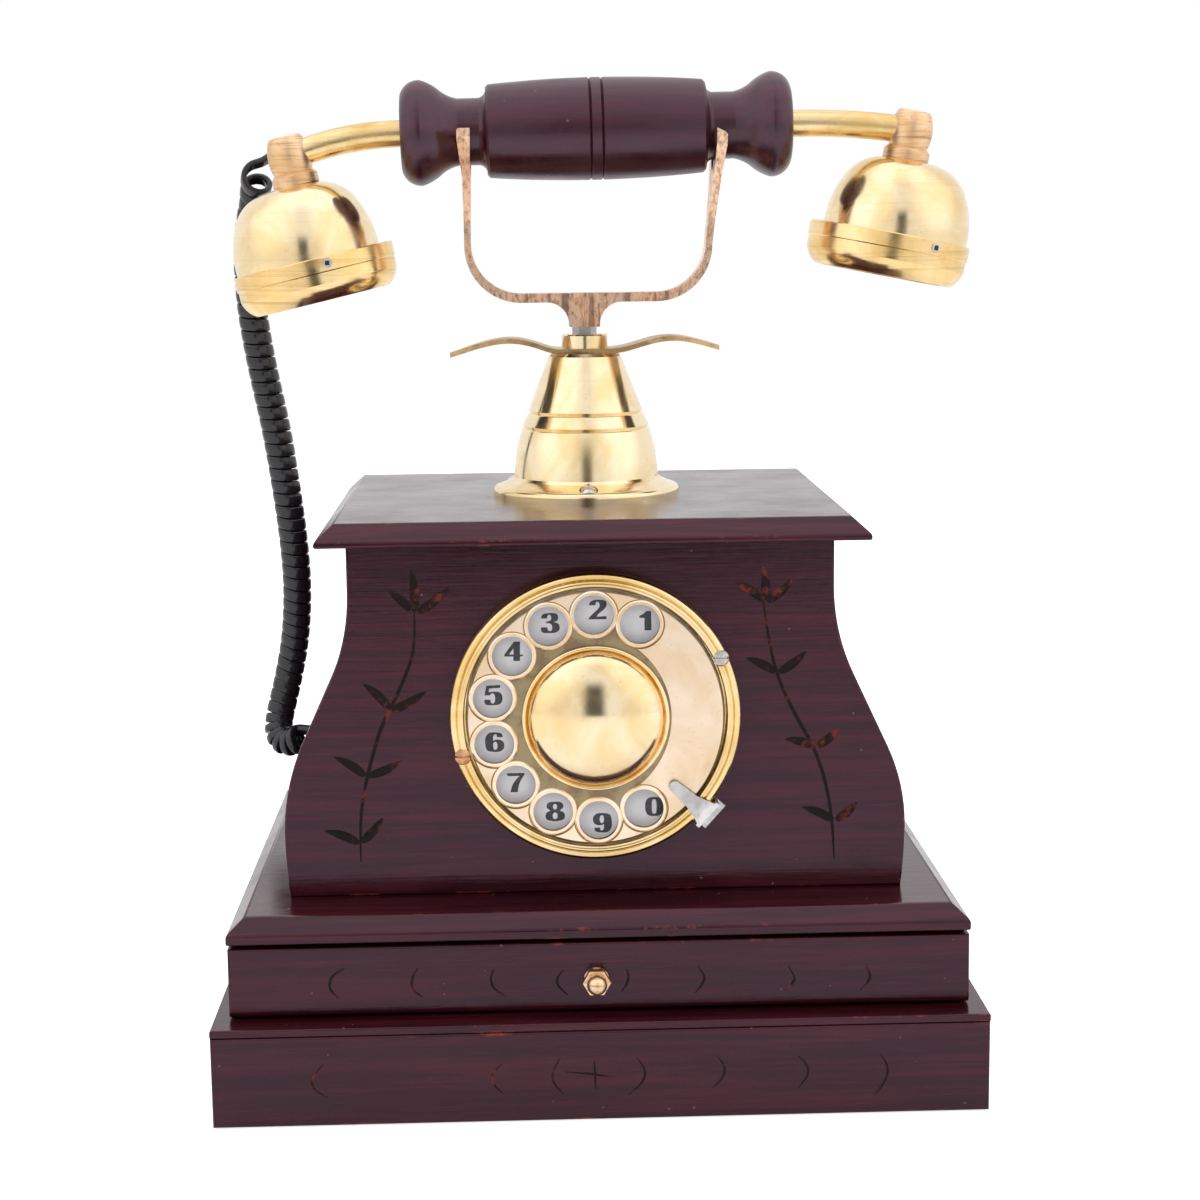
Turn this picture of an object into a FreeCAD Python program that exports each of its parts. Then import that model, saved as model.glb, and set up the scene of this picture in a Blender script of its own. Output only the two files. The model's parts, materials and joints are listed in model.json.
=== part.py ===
import FreeCAD
import Part
import math
import os

# Desk telephone with a wooden case, a rotary dial, a drawer in the base and a brass handset.
# Millimetres. +Z is up, the dial faces -Y, and the origin is the centre of the base's underside.

os.makedirs("parts", exist_ok=True)

# Fits between pieces
touch_gap = 0.3            # between curved faces of different bodies
bearing_gap = 0.06         # radial play of a shaft in its hole
hole_gap = 0.25            # round a screw or a cable

# Plinth
plinth_width = 224.0
plinth_depth = 190.0
plinth_frame_height = 26.8
plinth_board = 8.0
deck_thickness = 2.4
cover_thickness = 3.0
cover_rebate = 5.0
cover_screw_radius = 1.6
cover_screw_head = 2.4
cover_screw_sink = 1.4
cover_screw_inset = 16.0
cover_screw_length = 9.0

# Drawer storey
carcass_width = 214.4
carcass_depth = 172.8
carcass_height = 22.3
rail_thickness = 7.0
drawer_front_thickness = 7.0
drawer_foot_gap = 0.5
drawer_top_gap = 1.2
drawer_back_gap = 0.5
drawer_side_gap = 0.6
drawer_side_height = 15.0
drawer_side_thickness = 5.0
drawer_bottom_thickness = 3.0
drawer_tray_depth = 148.0
front_edge_round = 2.0
knob_x = -1.2
knob_flats = 7.0
knob_hex_height = 3.2
knob_dome_radius = 2.9
knob_dome_height = 4.6
knob_washer_radius = 3.7
knob_washer_thickness = 0.7
knob_screw_radius = 1.9
knob_screw_head_radius = 3.8
knob_screw_head = 2.0

# Moulding board over the drawer
moulding_overhang = 0.3
moulding_thickness = 7.3
moulding_edge = 3.0
moulding_chamfer = 5.0

# Case
case_depth = 127.2
case_height = 105.3
case_waist_half_width = {"left": 71.8, "right": 70.5}
case_bulge_half_width = {"left": 92.2, "right": 92.0}
case_waist_height = 14.4       # straight stretch under the top board
case_hollow_radius = 62.0
case_belly_radius = {"left": 69.0, "right": 57.0}
case_foot_radius = 136.0
case_sweep_angle = 25.0
panel_thickness = 7.0
side_thickness = 4.0
cleat_size = 9.0
cleat_inset = 6.0

# Top board
top_width = 160.4
top_depth = 145.0
top_thickness = 6.6
top_edge = 1.7
top_chamfer = 5.4
top_hole_radius = 3.2

# Pedestal
flange_radius = 29.3
flange_rim_height = 3.2
flange_height = 6.0
bell_base_radius = 22.8
lower_groove_radius = 19.9
lower_groove_height = 21.3
upper_groove_radius = 17.9
upper_groove_height = 26.0
pedestal_top_radius = 11.3
pedestal_height = 44.5
pedestal_wall = 1.2
groove_depth = 0.5
pedestal_screw_circle = 25.9
pedestal_screw_count = 3
pedestal_screw_radius = 1.4
pedestal_screw_head_radius = 2.6
pedestal_screw_length = 9.0

# Wing plate and its nut
wing_span = 84.4
wing_crest = {"left": 21.6, "right": 26.6}
wing_crest_rise = {"left": 3.3, "right": 3.6}
wing_tip_rise = {"left": -1.0, "right": 0.3}
wing_flat = 7.5
wing_thickness = 1.5
wing_width = 17.0
wing_tip_width = 4.0
wing_nut_radius = 7.2
wing_nut_height = 4.3

# Plunger, its lock nut and spring
plunger_radius = 2.4
plunger_travel = 3.0           # up, until the shoulder meets the pedestal
plunger_drop = 22.0            # below the top board's underside
plunger_shoulder_radius = 5.2
plunger_shoulder_height = 1.6
plunger_thread_depth = 5.0
lock_nut_flats = 6.6
lock_nut_height = 2.4
spring_wire = 0.9
spring_radius = 4.2
spring_turns = 9

# Cradle fork
fork_boss_width = 9.6
fork_boss_depth = 9.0
fork_boss_height = 7.6
fork_bar_height = 2.8
fork_root_width = 22.0
fork_corner_radius = 17.5
fork_arm_x = {"left": -36.0, "right": 39.0}
fork_prong_x = {"left": -35.9, "right": 41.3}
fork_tip_x = {"left": -36.4, "right": 42.3}
fork_arm_thickness = 2.0
fork_prong_thickness = 2.3
fork_tip_thickness = {"left": 4.0, "right": 3.2}
fork_tip_length = 4.0
fork_arm_depth = 8.5
fork_crotch_depth = 20.0
fork_tip_depth = 32.0
fork_crotch_below = 15.0       # from the handle's axis down to the bottom of the vee
cradle_gap = 0.4
fork_outer_above = {"left": 0.4, "right": -1.9}    # from the handle's axis up to the tips
fork_inner_above = {"left": 1.8, "right": -0.7}
vee_round = 3.0

# Handset
handset_rise = 63.1            # from the pedestal nut's top up to the handle's axis
handset_shift = 4.3
handset_tilt = 0.9
handle_length = 120.0
neck_spacing = 78.5
neck_radius = 10.2
neck_flat = 6.5
barrel_length = 67.6
barrel_radius = 15.6
barrel_end_radius = 14.2
knuckle_radius = 16.0
knuckle_from_end = 6.2
handle_end_radius = 12.0
handle_groove_spacing = 3.7
handle_groove_depth = 0.5
handle_bore_radius = 3.0
tube_radius = 4.15
tube_wall = 0.9
tube_socket = 18.0
elbow_reach = {"left": 96.1, "right": 99.3}
elbow_rise = {"left": -0.1, "right": 2.7}
bell_tilt = {"left": 12.2, "right": 12.2}
bell_offset = {"left": 2.5, "right": 1.5}
cap_offset = {"left": 1.1, "right": 0.0}
elbow_tube_drop = 5.6
elbow_tube_inset = 2.0         # the tube stops short of the elbow's own line
elbow_top_radius = 5.3
elbow_bulge_radius = 6.7
elbow_neck_radius = 6.0
elbow_collar_radius = 7.2
elbow_collar_height = 3.3
elbow_height = 15.2
bell_height = 23.0
bell_crown_radius = 7.6
bell_shoulder_radius = 19.6
bell_shoulder_height = 8.6
bell_rim_radius = 22.5
bell_wall = 1.1
cap_radius = 25.2
cap_upper_band = 4.4
cap_lower_band = 3.6
cap_bevel = 5.0
cap_mouth_radius = 21.3
cap_lip = 2.2
cap_step = 0.35
cap_cavity_radius = 20.6
cap_web = 1.2
capsule_recess = 1.4
capsule_thickness = 5.0
capsule_hole_radius = 1.1
capsule_ring_step = 4.6
grub_screw_radius = 1.5
grub_screw_facing = {"left": -76.0, "right": -64.0}

# Dial
dial_height = 112.9            # above the underside of the plinth
bezel_radius = 42.6
bezel_inner_radius = 38.3
bezel_height = 7.0
bezel_floor = 1.4
bezel_floor_bore = 23.0
bezel_screw_circle = 40.4
bezel_screw_angles = (25.0, 195.6)
bezel_screw_radius = 1.5
bezel_screw_sink = 1.0
number_plate_thickness = 1.6
wheel_radius = 37.6
wheel_thickness = 1.4
wheel_gap = 2.2                # between the number plate and the finger wheel
finger_circle = 30.5
finger_hole_radius = 5.8
finger_rim_width = 1.4
finger_rim_height = 0.5
finger_hole_first = 64.6
finger_hole_step = 25.8
finger_hole_count = 10
dome_radius = 19.0
dome_height = 9.0
dome_ring_radius = 21.4
dome_ring_height = 1.3
stop_angle = -42.0
stop_inner_radius = 30.0
stop_inner_width = 3.2
stop_outer_width = 9.0
stop_thickness = 1.2
stop_foot_length = 4.5

# Dial works
works_hole_radius = 28.0
works_plate_radius = 27.2
works_plate_thickness = 2.0
works_depth = 24.0
pillar_radius = 2.0
pillar_circle = 23.5
pillar_angles = (30.0, 210.0, 330.0)
dial_shaft_radius = 3.0
gear_module = 0.6
main_teeth = 60
pinion_teeth = 12
gear_thickness = 2.5
gear_setback = 9.5             # from the front works plate to the main gear
gear_play = 0.12
tooth_share = 0.40             # tooth width as a share of the tooth pitch
governor_shaft_radius = 1.2
governor_radius = 8.0
governor_thickness = 3.0
governor_weight_radius = 2.0
mainspring_inner_radius = 4.2
mainspring_strip = 0.5
mainspring_gap = 0.9
mainspring_half_turns = 9
mainspring_width = 5.0

# Hook switch
switch_offset = 12.0
switch_bracket_width = 14.0
switch_bracket_thickness = 1.6
switch_blade_thickness = 0.4
switch_blade_width = 5.0
switch_blade_gap = 1.6
switch_block_height = 7.0

# Ringer
ringer_y = 22.0
ringer_base_length = 86.0
ringer_base_width = 30.0
ringer_base_thickness = 1.5
gong_radius = 15.0
gong_height = 8.0
gong_wall = 1.0
gong_lift = 24.0
post_radius = 2.2
coil_radius = 6.0
coil_length = 15.0
coil_spacing = 24.0
clapper_ball_radius = 3.2
clapper_rod_radius = 0.8
clapper_play = 2.3             # from the ball to a gong
clapper_pivot_height = 6.0
clapper_pivot_radius = 1.2

# Circuit board and line socket
board_length = 84.0
board_height = 40.0
board_thickness = 1.6
board_standoff = 5.0
board_lift = 46.0
socket_width = 16.0
socket_height = 14.0
socket_length = 17.0
socket_mouth_width = 11.8
socket_mouth_height = 8.6
socket_mouth_depth = 12.0
socket_x = -45.0
socket_lift = 5.0
sound_hole_radius = 1.9
sound_hole_circle = 9.0
sound_hole_count = 6
sound_holes_x = 30.0
sound_holes_lift = 26.0

# Curly cord
cord_wire = 3.1
cord_curl_diameter = 9.8
cord_curl_pitch = 4.15
cord_least_gap = 0.8
gland_recess = 3.0
gland_radius = 3.6
gland_flange_radius = 6.0
gland_flange = 2.5
gland_wall = 1.0
gland_y = 36.0
gland_height = 87.4
cord_inlet_radius = 2.6
cord_inlet_length = 2.4
cord_inlet_drop = 4.8

# Heights of the storeys, from the underside up
plinth_height = plinth_frame_height + deck_thickness
carcass_top = plinth_height + carcass_height
moulding_top = carcass_top + moulding_thickness
case_top = moulding_top + case_height
top_surface = case_top + top_thickness
pedestal_top = top_surface + pedestal_height
wing_top = pedestal_top + wing_thickness
nut_top = wing_top + wing_nut_height
fork_foot = nut_top + lock_nut_height
handset_axis_height = nut_top + handset_rise
spring_length = pedestal_height - pedestal_wall - touch_gap - plunger_travel - plunger_shoulder_height

case_front = -case_depth / 2
case_back = case_depth / 2
carcass_front = -carcass_depth / 2 + drawer_front_thickness

X = FreeCAD.Vector(1, 0, 0)
Y = FreeCAD.Vector(0, 1, 0)
Z = FreeCAD.Vector(0, 0, 1)
ORIGIN = FreeCAD.Vector(0, 0, 0)


def vec(x, y, z):
    return FreeCAD.Vector(x, y, z)


def box(x_low, x_high, y_low, y_high, z_low, z_high):
    return Part.makeBox(x_high - x_low, y_high - y_low, z_high - z_low, vec(x_low, y_low, z_low))


def rod(radius, start, end):
    along = end - start
    return Part.makeCylinder(radius, along.Length, start, along)


def outline(start, steps, to_space):
    """A closed face from a start point and steps in a plane: (a, b) is a line's end,
    (am, bm, a, b) is an arc through (am, bm) to (a, b)."""
    edges = []
    here = to_space(*start)
    for step in list(steps) + [start]:
        there = to_space(*step[-2:])
        if here.distanceToPoint(there) < 1e-6:
            continue
        if len(step) == 4:
            edges.append(Part.Arc(here, to_space(*step[:2]), there).toShape())
        else:
            edges.append(Part.LineSegment(here, there).toShape())
        here = there
    return Part.Face(Part.Wire(edges))


def reversed_steps(steps):
    """The same stretch of outline walked the other way, from its last point to its first."""
    back = [steps[-1][-2:]]
    for step, earlier in zip(steps[:0:-1], steps[-2::-1]):
        back.append(step[:-2] + earlier[-2:])
    return back


def mirrored_steps(steps):
    return [tuple(-value if k % 2 == 0 else value for k, value in enumerate(step)) for step in steps]


def in_xz(y):
    return lambda a, b: vec(a, y, b)


def in_yz(x):
    return lambda a, b: vec(x, a, b)


def in_xy(z):
    return lambda a, b: vec(a, b, z)


def turned(start, steps):
    """A solid turned about the Z axis from an outline of (radius, height)."""
    return outline(start, steps, in_xz(0)).revolve(ORIGIN, Z, 360)


def to_dial(solid):
    """Turns a piece made along +Z so that it stands out of the case's front at the dial."""
    moved = solid.copy()
    moved.rotate(ORIGIN, X, 90)
    moved.translate(vec(0, case_front, dial_height))
    return moved


def polar(radius, degrees):
    turn = math.radians(degrees)
    return radius * math.cos(turn), radius * math.sin(turn)


def side_sign(side):
    return -1 if side == "left" else 1


def group(solids):
    return solids[0] if len(solids) == 1 else Part.makeCompound(solids)


def fuse(solids):
    return solids[0].multiFuse(solids[1:]).removeSplitter() if len(solids) > 1 else solids[0]


def hexagon(flats, height, base):
    corner = flats / math.sqrt(3)
    points = [base + vec(*polar(corner, 60 * k), 0) for k in range(7)]
    return Part.Face(Part.makePolygon(points)).extrude(Z * height)


def chamfered_board(width, depth, low, thickness, edge, chamfer):
    """A board whose upper edge is bevelled on all four sides."""
    half_width = width / 2
    half_depth = depth / 2
    lower = box(-half_width, half_width, -half_depth, half_depth, low, low + edge)
    wires = []
    for height, inset in ((low + edge, 0), (low + thickness, chamfer)):
        x = half_width - inset
        y = half_depth - inset
        corners = [vec(-x, -y, height), vec(x, -y, height), vec(x, y, height), vec(-x, y, height)]
        wires.append(Part.makePolygon(corners + corners[:1]))
    upper = Part.makeLoft(wires, True, True)
    return fuse([lower, upper])


# Plinth

cover_half_width = plinth_width / 2 - plinth_board + cover_rebate
cover_half_depth = plinth_depth / 2 - plinth_board + cover_rebate


def cover_space():
    return box(-cover_half_width, cover_half_width, -cover_half_depth, cover_half_depth, 0, cover_thickness)


def cover_screw_places():
    x = cover_half_width - cover_rebate / 2
    y = cover_half_depth - cover_screw_inset
    return [vec(i * x, j * y, 0) for i in (-1, 1) for j in (-1, 1)]


def plinth_board_solid(x_low, x_high, y_low, y_high):
    board = box(x_low, x_high, y_low, y_high, 0, plinth_frame_height).cut(cover_space())
    for place in cover_screw_places():
        board = board.cut(rod(cover_screw_radius, place, place + Z * (cover_screw_length + hole_gap)))
    return board


def plinth_front_board():
    front = -plinth_depth / 2
    return plinth_board_solid(-plinth_width / 2, plinth_width / 2, front, front + plinth_board)


def plinth_rear_board():
    back = plinth_depth / 2
    return plinth_board_solid(-plinth_width / 2, plinth_width / 2, back - plinth_board, back)


def plinth_side_boards():
    y = plinth_depth / 2 - plinth_board
    outer = plinth_width / 2
    inner = outer - plinth_board
    return group([plinth_board_solid(-outer, -inner, -y, y), plinth_board_solid(inner, outer, -y, y)])


def plinth_deck():
    x = plinth_width / 2
    y = plinth_depth / 2
    return box(-x, x, -y, y, plinth_frame_height, plinth_height)


def base_cover():
    x = cover_half_width - touch_gap
    y = cover_half_depth - touch_gap
    cover = box(-x, x, -y, y, 0, cover_thickness)
    wide = cover_screw_head + hole_gap
    narrow = cover_screw_radius + hole_gap
    for place in cover_screw_places():
        cover = cover.cut(rod(narrow, place, place + Z * cover_thickness))
        cover = cover.cut(Part.makeCone(wide, narrow, cover_screw_sink, place))
    return cover


def base_screws():
    screws = []
    for place in cover_screw_places():
        shank = rod(cover_screw_radius, place + Z * cover_screw_sink, place + Z * cover_screw_length)
        head = Part.makeCone(cover_screw_head, cover_screw_radius, cover_screw_sink, place)
        slot = box(-cover_screw_head, cover_screw_head, -0.3, 0.3, 0, 0.6)
        slot.translate(place)
        screws.append(fuse([shank, head]).cut(slot))
    return group(screws)


# Drawer storey

def carcass_side_rails():
    outer = carcass_width / 2
    inner = outer - rail_thickness
    back = carcass_depth / 2
    front = carcass_front + drawer_back_gap
    left = box(-outer, -inner, front, back, plinth_height, carcass_top)
    right = box(inner, outer, front, back, plinth_height, carcass_top)
    return group([left, right])


def carcass_rear_rail():
    x = carcass_width / 2 - rail_thickness
    back = carcass_depth / 2
    return box(-x, x, back - rail_thickness, back, plinth_height, carcass_top)


def moulding_board():
    width = carcass_width + 2 * moulding_overhang
    depth = carcass_depth + 2 * moulding_overhang
    return chamfered_board(width, depth, carcass_top, moulding_thickness, moulding_edge, moulding_chamfer)


drawer_low = plinth_height + drawer_foot_gap
drawer_side_x = carcass_width / 2 - rail_thickness - drawer_side_gap
drawer_back_y = carcass_front + drawer_tray_depth
knob_height = (drawer_low + carcass_top - drawer_top_gap) / 2 - 0.7


def knob_hole():
    front = -carcass_depth / 2
    hole = knob_screw_radius + hole_gap
    return rod(hole, vec(knob_x, front - 1, knob_height), vec(knob_x, carcass_front + 1, knob_height))


def drawer_front():
    x = carcass_width / 2
    high = carcass_top - drawer_top_gap
    front = -carcass_depth / 2
    board = box(-x, x, front, carcass_front, drawer_low, high)
    lower_edge = [edge for edge in board.Edges
                  if abs(edge.CenterOfMass.y - front) < 1e-6 and abs(edge.CenterOfMass.z - drawer_low) < 1e-6]
    board = board.makeFillet(front_edge_round, lower_edge)
    return board.cut(knob_hole())


def drawer_sides():
    inner = drawer_side_x - drawer_side_thickness
    high = drawer_low + drawer_side_height
    left = box(-drawer_side_x, -inner, carcass_front, drawer_back_y, drawer_low, high)
    right = box(inner, drawer_side_x, carcass_front, drawer_back_y, drawer_low, high)
    return group([left, right])


def drawer_back():
    inner = drawer_side_x - drawer_side_thickness
    y = drawer_back_y - drawer_side_thickness
    return box(-inner, inner, y, drawer_back_y, drawer_low, drawer_low + drawer_side_height)


def drawer_bottom():
    inner = drawer_side_x - drawer_side_thickness
    y = drawer_back_y - drawer_side_thickness
    return box(-inner, inner, carcass_front, y, drawer_low, drawer_low + drawer_bottom_thickness)


def drawer_knob():
    nut = hexagon(knob_flats, knob_hex_height, vec(0, 0, knob_washer_thickness))
    washer = Part.makeCylinder(knob_washer_radius, knob_washer_thickness)
    low = knob_washer_thickness + knob_hex_height
    middle = low + knob_dome_height - knob_dome_radius
    bend = knob_dome_radius * math.sqrt(0.5)
    dome = turned((0, low), [(knob_dome_radius, low), (knob_dome_radius, middle),
                             (bend, middle + bend, 0, middle + knob_dome_radius)])
    knob = fuse([washer, nut, dome])
    knob = knob.cut(Part.makeCylinder(knob_screw_radius, knob_washer_thickness + knob_hex_height))
    knob.rotate(ORIGIN, X, 90)
    knob.translate(vec(knob_x, -carcass_depth / 2, knob_height))
    return knob


def knob_screw():
    inside = carcass_front
    head_end = inside + knob_screw_head
    tip = -carcass_depth / 2 - knob_washer_thickness - knob_hex_height
    shank = rod(knob_screw_radius, vec(knob_x, inside, knob_height), vec(knob_x, tip, knob_height))
    head = rod(knob_screw_head_radius, vec(knob_x, inside, knob_height), vec(knob_x, head_end, knob_height))
    slot = box(knob_x - knob_screw_head_radius, knob_x + knob_screw_head_radius, head_end - 0.8, head_end,
               knob_height - 0.5, knob_height + 0.5)
    return fuse([shank, head]).cut(slot)


# Case

def case_side_steps(side, inset):
    """One side of the case's outline seen from the front, as if on the right, from the top down:
    straight at the waist, a hollow, a slanting stretch, a belly and a foot that draws in again."""
    waist = case_waist_half_width[side] - inset
    belly = case_bulge_half_width[side] - inset
    hollow_radius = case_hollow_radius + inset
    belly_radius = case_belly_radius[side] - inset
    foot_radius = case_foot_radius - inset
    sweep = math.radians(case_sweep_angle)
    half = sweep / 2
    slant = (belly - waist - (hollow_radius + belly_radius) * (1 - math.cos(sweep))) / math.sin(sweep)

    waist_z = case_top - case_waist_height
    hollow_end = (waist + hollow_radius * (1 - math.cos(sweep)), waist_z - hollow_radius * math.sin(sweep))
    hollow_middle = (waist + hollow_radius * (1 - math.cos(half)), waist_z - hollow_radius * math.sin(half))
    slant_end = (hollow_end[0] + slant * math.sin(sweep), hollow_end[1] - slant * math.cos(sweep))
    belly_z = slant_end[1] - belly_radius * math.sin(sweep)
    belly_middle = (belly - belly_radius * (1 - math.cos(half)), belly_z + belly_radius * math.sin(half))
    foot_turn = math.asin((belly_z - moulding_top) / foot_radius)
    foot_end = (belly - foot_radius * (1 - math.cos(foot_turn)), moulding_top)
    foot_middle = (belly - foot_radius * (1 - math.cos(foot_turn / 2)),
                   belly_z - foot_radius * math.sin(foot_turn / 2))
    return [(waist, case_top), (waist, waist_z), hollow_middle + hollow_end, slant_end,
            belly_middle + (belly, belly_z), foot_middle + foot_end]


def case_outline(y, inset=0.0):
    right = case_side_steps("right", inset)
    left = reversed_steps(mirrored_steps(case_side_steps("left", inset)))
    return outline(right[0], right[1:] + left, in_xz(y))


def left_wall_x(height):
    """Where the case's left side stands at a height, read from the outline itself."""
    far = vec(-2 * case_bulge_half_width["left"], 0, height)
    ray = Part.LineSegment(vec(0, 0, height), far).toShape()
    return ray.common(case_outline(0)).BoundBox.XMin


def front_panel():
    panel = case_outline(case_front).extrude(Y * panel_thickness)
    centre = vec(0, case_front, dial_height)
    panel = panel.cut(rod(works_hole_radius, centre, centre + Y * panel_thickness))
    for x, z in bezel_screw_places():
        start = vec(x, case_front, dial_height + z)
        panel = panel.cut(rod(bezel_screw_radius, start, start + Y * 4))
    return panel


def socket_centre():
    return socket_x, moulding_top + socket_lift + socket_height / 2


def sound_hole_places():
    centre_z = moulding_top + sound_holes_lift
    places = [(sound_holes_x, centre_z)]
    for k in range(sound_hole_count):
        x, z = polar(sound_hole_circle, 360 / sound_hole_count * k)
        places.append((sound_holes_x + x, centre_z + z))
    return places


def rear_panel():
    panel = case_outline(case_back - panel_thickness).extrude(Y * panel_thickness)
    x, z = socket_centre()
    half_width = socket_width / 2
    half_height = socket_height / 2
    panel = panel.cut(box(x - half_width, x + half_width, case_back - panel_thickness, case_back,
                          z - half_height, z + half_height))
    for hole_x, hole_z in sound_hole_places():
        start = vec(hole_x, case_back - panel_thickness, hole_z)
        panel = panel.cut(rod(sound_hole_radius, start, start + Y * panel_thickness))
    return panel


def side_panel(side):
    sign = side_sign(side)
    y_low = case_front + panel_thickness
    length = case_depth - 2 * panel_thickness
    shell = case_outline(y_low).extrude(Y * length)
    shell = shell.cut(case_outline(y_low, side_thickness).extrude(Y * length))
    reach = 2 * case_bulge_half_width[side]
    low, high = sorted((0, sign * reach))
    panel = shell.common(box(low, high, case_front, case_back, moulding_top, case_top))
    if side == "left":
        start = vec(-reach, gland_y, gland_height)
        panel = panel.cut(rod(gland_radius, start, vec(0, gland_y, gland_height)))
    return panel


def case_cleats():
    """Glued strips inside, along the front and rear panels, under the top board and on the floor."""
    cleats = []
    floor_width = min(case_bulge_half_width.values())
    ceiling_width = min(case_waist_half_width.values())
    for height, width in ((moulding_top, floor_width), (case_top - cleat_size, ceiling_width)):
        half = width - side_thickness - cleat_inset
        front = case_front + panel_thickness
        cleats.append(box(-half, half, front, front + cleat_size, height, height + cleat_size))
        back = case_back - panel_thickness
        cleat = box(-half, half, back - cleat_size, back, height, height + cleat_size)
        x, z = socket_centre()
        room = socket_width / 2 + hole_gap
        reach = socket_height / 2 + hole_gap
        cleats.append(cleat.cut(box(x - room, x + room, back - cleat_size, back, z - reach, z + reach)))
    return group(cleats)


def top_board():
    board = chamfered_board(top_width, top_depth, case_top, top_thickness, top_edge, top_chamfer)
    board = board.cut(rod(top_hole_radius, vec(0, 0, case_top), vec(0, 0, top_surface)))
    for x, y in pedestal_screw_places():
        board = board.cut(rod(pedestal_screw_radius, vec(x, y, case_top), vec(x, y, top_surface)))
    return board


# Pedestal

def pedestal_screw_places():
    step = 360 / pedestal_screw_count
    return [polar(pedestal_screw_circle, -90 + step * k) for k in range(pedestal_screw_count)]


def pedestal_bell():
    rim = flange_rim_height
    steps = [(flange_radius, 0), (flange_radius, rim * 0.4),
             (flange_radius - 0.5, rim * 0.85, flange_radius - 2, rim),
             (bell_base_radius + 0.6, flange_height - 0.9),
             (bell_base_radius, flange_height),
             (bell_base_radius - 0.9, (flange_height + lower_groove_height) / 2,
              lower_groove_radius + 0.2, lower_groove_height - 0.6),
             (lower_groove_radius - groove_depth, lower_groove_height),
             (lower_groove_radius, lower_groove_height + 0.6),
             (upper_groove_radius + 0.2, upper_groove_height - 0.6),
             (upper_groove_radius - groove_depth, upper_groove_height),
             (upper_groove_radius, upper_groove_height + 0.6),
             (pedestal_top_radius, pedestal_height - 1.0),
             (pedestal_top_radius - 1.0, pedestal_height), (0, pedestal_height)]
    outer = turned((0, 0), steps)
    inner = turned((0, 0), [(bell_base_radius - pedestal_wall, 0),
                            (bell_base_radius - pedestal_wall, flange_height),
                            (lower_groove_radius - groove_depth - pedestal_wall, lower_groove_height),
                            (upper_groove_radius - groove_depth - pedestal_wall, upper_groove_height),
                            (pedestal_top_radius - pedestal_wall, pedestal_height - pedestal_wall),
                            (0, pedestal_height - pedestal_wall)])
    bell = outer.cut(inner)
    bell = bell.cut(rod(plunger_radius + bearing_gap, ORIGIN, vec(0, 0, pedestal_height)))
    for x, y in pedestal_screw_places():
        bell = bell.cut(rod(pedestal_screw_radius + hole_gap, vec(x, y, 0), vec(x, y, rim * 2)))
        bell = bell.cut(rod(pedestal_screw_head_radius + hole_gap, vec(x, y, rim), vec(x, y, rim * 3)))
    bell.translate(vec(0, 0, top_surface))
    return bell


def pedestal_screws():
    screws = []
    for x, y in pedestal_screw_places():
        seat = vec(x, y, top_surface + flange_rim_height)
        shank = rod(pedestal_screw_radius, seat - Z * pedestal_screw_length, seat)
        head = turned((0, 0), [(pedestal_screw_head_radius, 0),
                               (pedestal_screw_head_radius * 0.75, 1.1, 0, 1.6)])
        head = head.cut(box(-pedestal_screw_head_radius, pedestal_screw_head_radius, -0.3, 0.3, 1.0, 2.0))
        head.translate(seat)
        screws.append(fuse([shank, head]))
    return group(screws)


def wing_plate():
    """The waved strip between the pedestal and its nut, cut to a long leaf in plan."""
    tip = wing_span / 2

    def wave(side, lift):
        sign = side_sign(side)
        crest = wing_crest[side]
        rise = wing_crest_rise[side]
        curve = Part.BSplineCurve()
        points = [vec(sign * wing_flat, 0, lift), vec(sign * (crest + wing_flat) / 2, 0, rise / 2 + lift),
                  vec(sign * crest, 0, rise + lift), vec(sign * tip, 0, wing_tip_rise[side] + lift)]
        curve.interpolate(Points=points, InitialTangent=X * sign, FinalTangent=vec(sign, 0, -0.3))
        return curve.toShape()

    flats = [Part.LineSegment(vec(-wing_flat, 0, lift), vec(wing_flat, 0, lift)).toShape()
             for lift in (0, wing_thickness)]
    waves = [wave(side, lift) for side in ("left", "right") for lift in (0, wing_thickness)]
    ends = []
    for side in ("left", "right"):
        low = vec(side_sign(side) * tip, 0, wing_tip_rise[side])
        ends.append(Part.LineSegment(low, low + Z * wing_thickness).toShape())
    face = Part.Face(Part.Wire(Part.__sortEdges__(flats + waves + ends)))
    strip = face.extrude(Y * wing_width)
    strip.translate(vec(0, -wing_width / 2, 0))
    half = wing_width / 2
    narrow = wing_tip_width / 2
    bulge = 0.93 * half
    middle = tip * 0.55
    leaf = outline((-tip, -narrow),
                   [(-middle, -bulge, 0, -half), (middle, -bulge, tip, -narrow), (tip, narrow),
                    (middle, bulge, 0, half), (-middle, bulge, -tip, narrow)], in_xy(-tip))
    plate = strip.common(leaf.extrude(Z * 2 * tip))
    plate = plate.cut(rod(plunger_radius + bearing_gap, ORIGIN, vec(0, 0, wing_thickness)))
    plate.translate(vec(0, 0, pedestal_top))
    return plate


def wing_nut():
    nut = turned((plunger_radius + bearing_gap, 0),
                 [(wing_nut_radius, 0), (wing_nut_radius, wing_nut_height - 0.4),
                  (wing_nut_radius - 0.4, wing_nut_height), (plunger_radius + bearing_gap, wing_nut_height)])
    nut.translate(vec(0, 0, wing_top))
    return nut


# Cradle

def plunger_rod():
    low = case_top - plunger_drop
    shaft = rod(plunger_radius, vec(0, 0, low + plunger_radius), vec(0, 0, fork_foot + plunger_thread_depth))
    tip = Part.makeSphere(plunger_radius, vec(0, 0, low + plunger_radius))
    shoulder_low = top_surface + spring_length
    shoulder = rod(plunger_shoulder_radius, vec(0, 0, shoulder_low),
                   vec(0, 0, shoulder_low + plunger_shoulder_height))
    return fuse([shaft, tip, shoulder])


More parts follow.
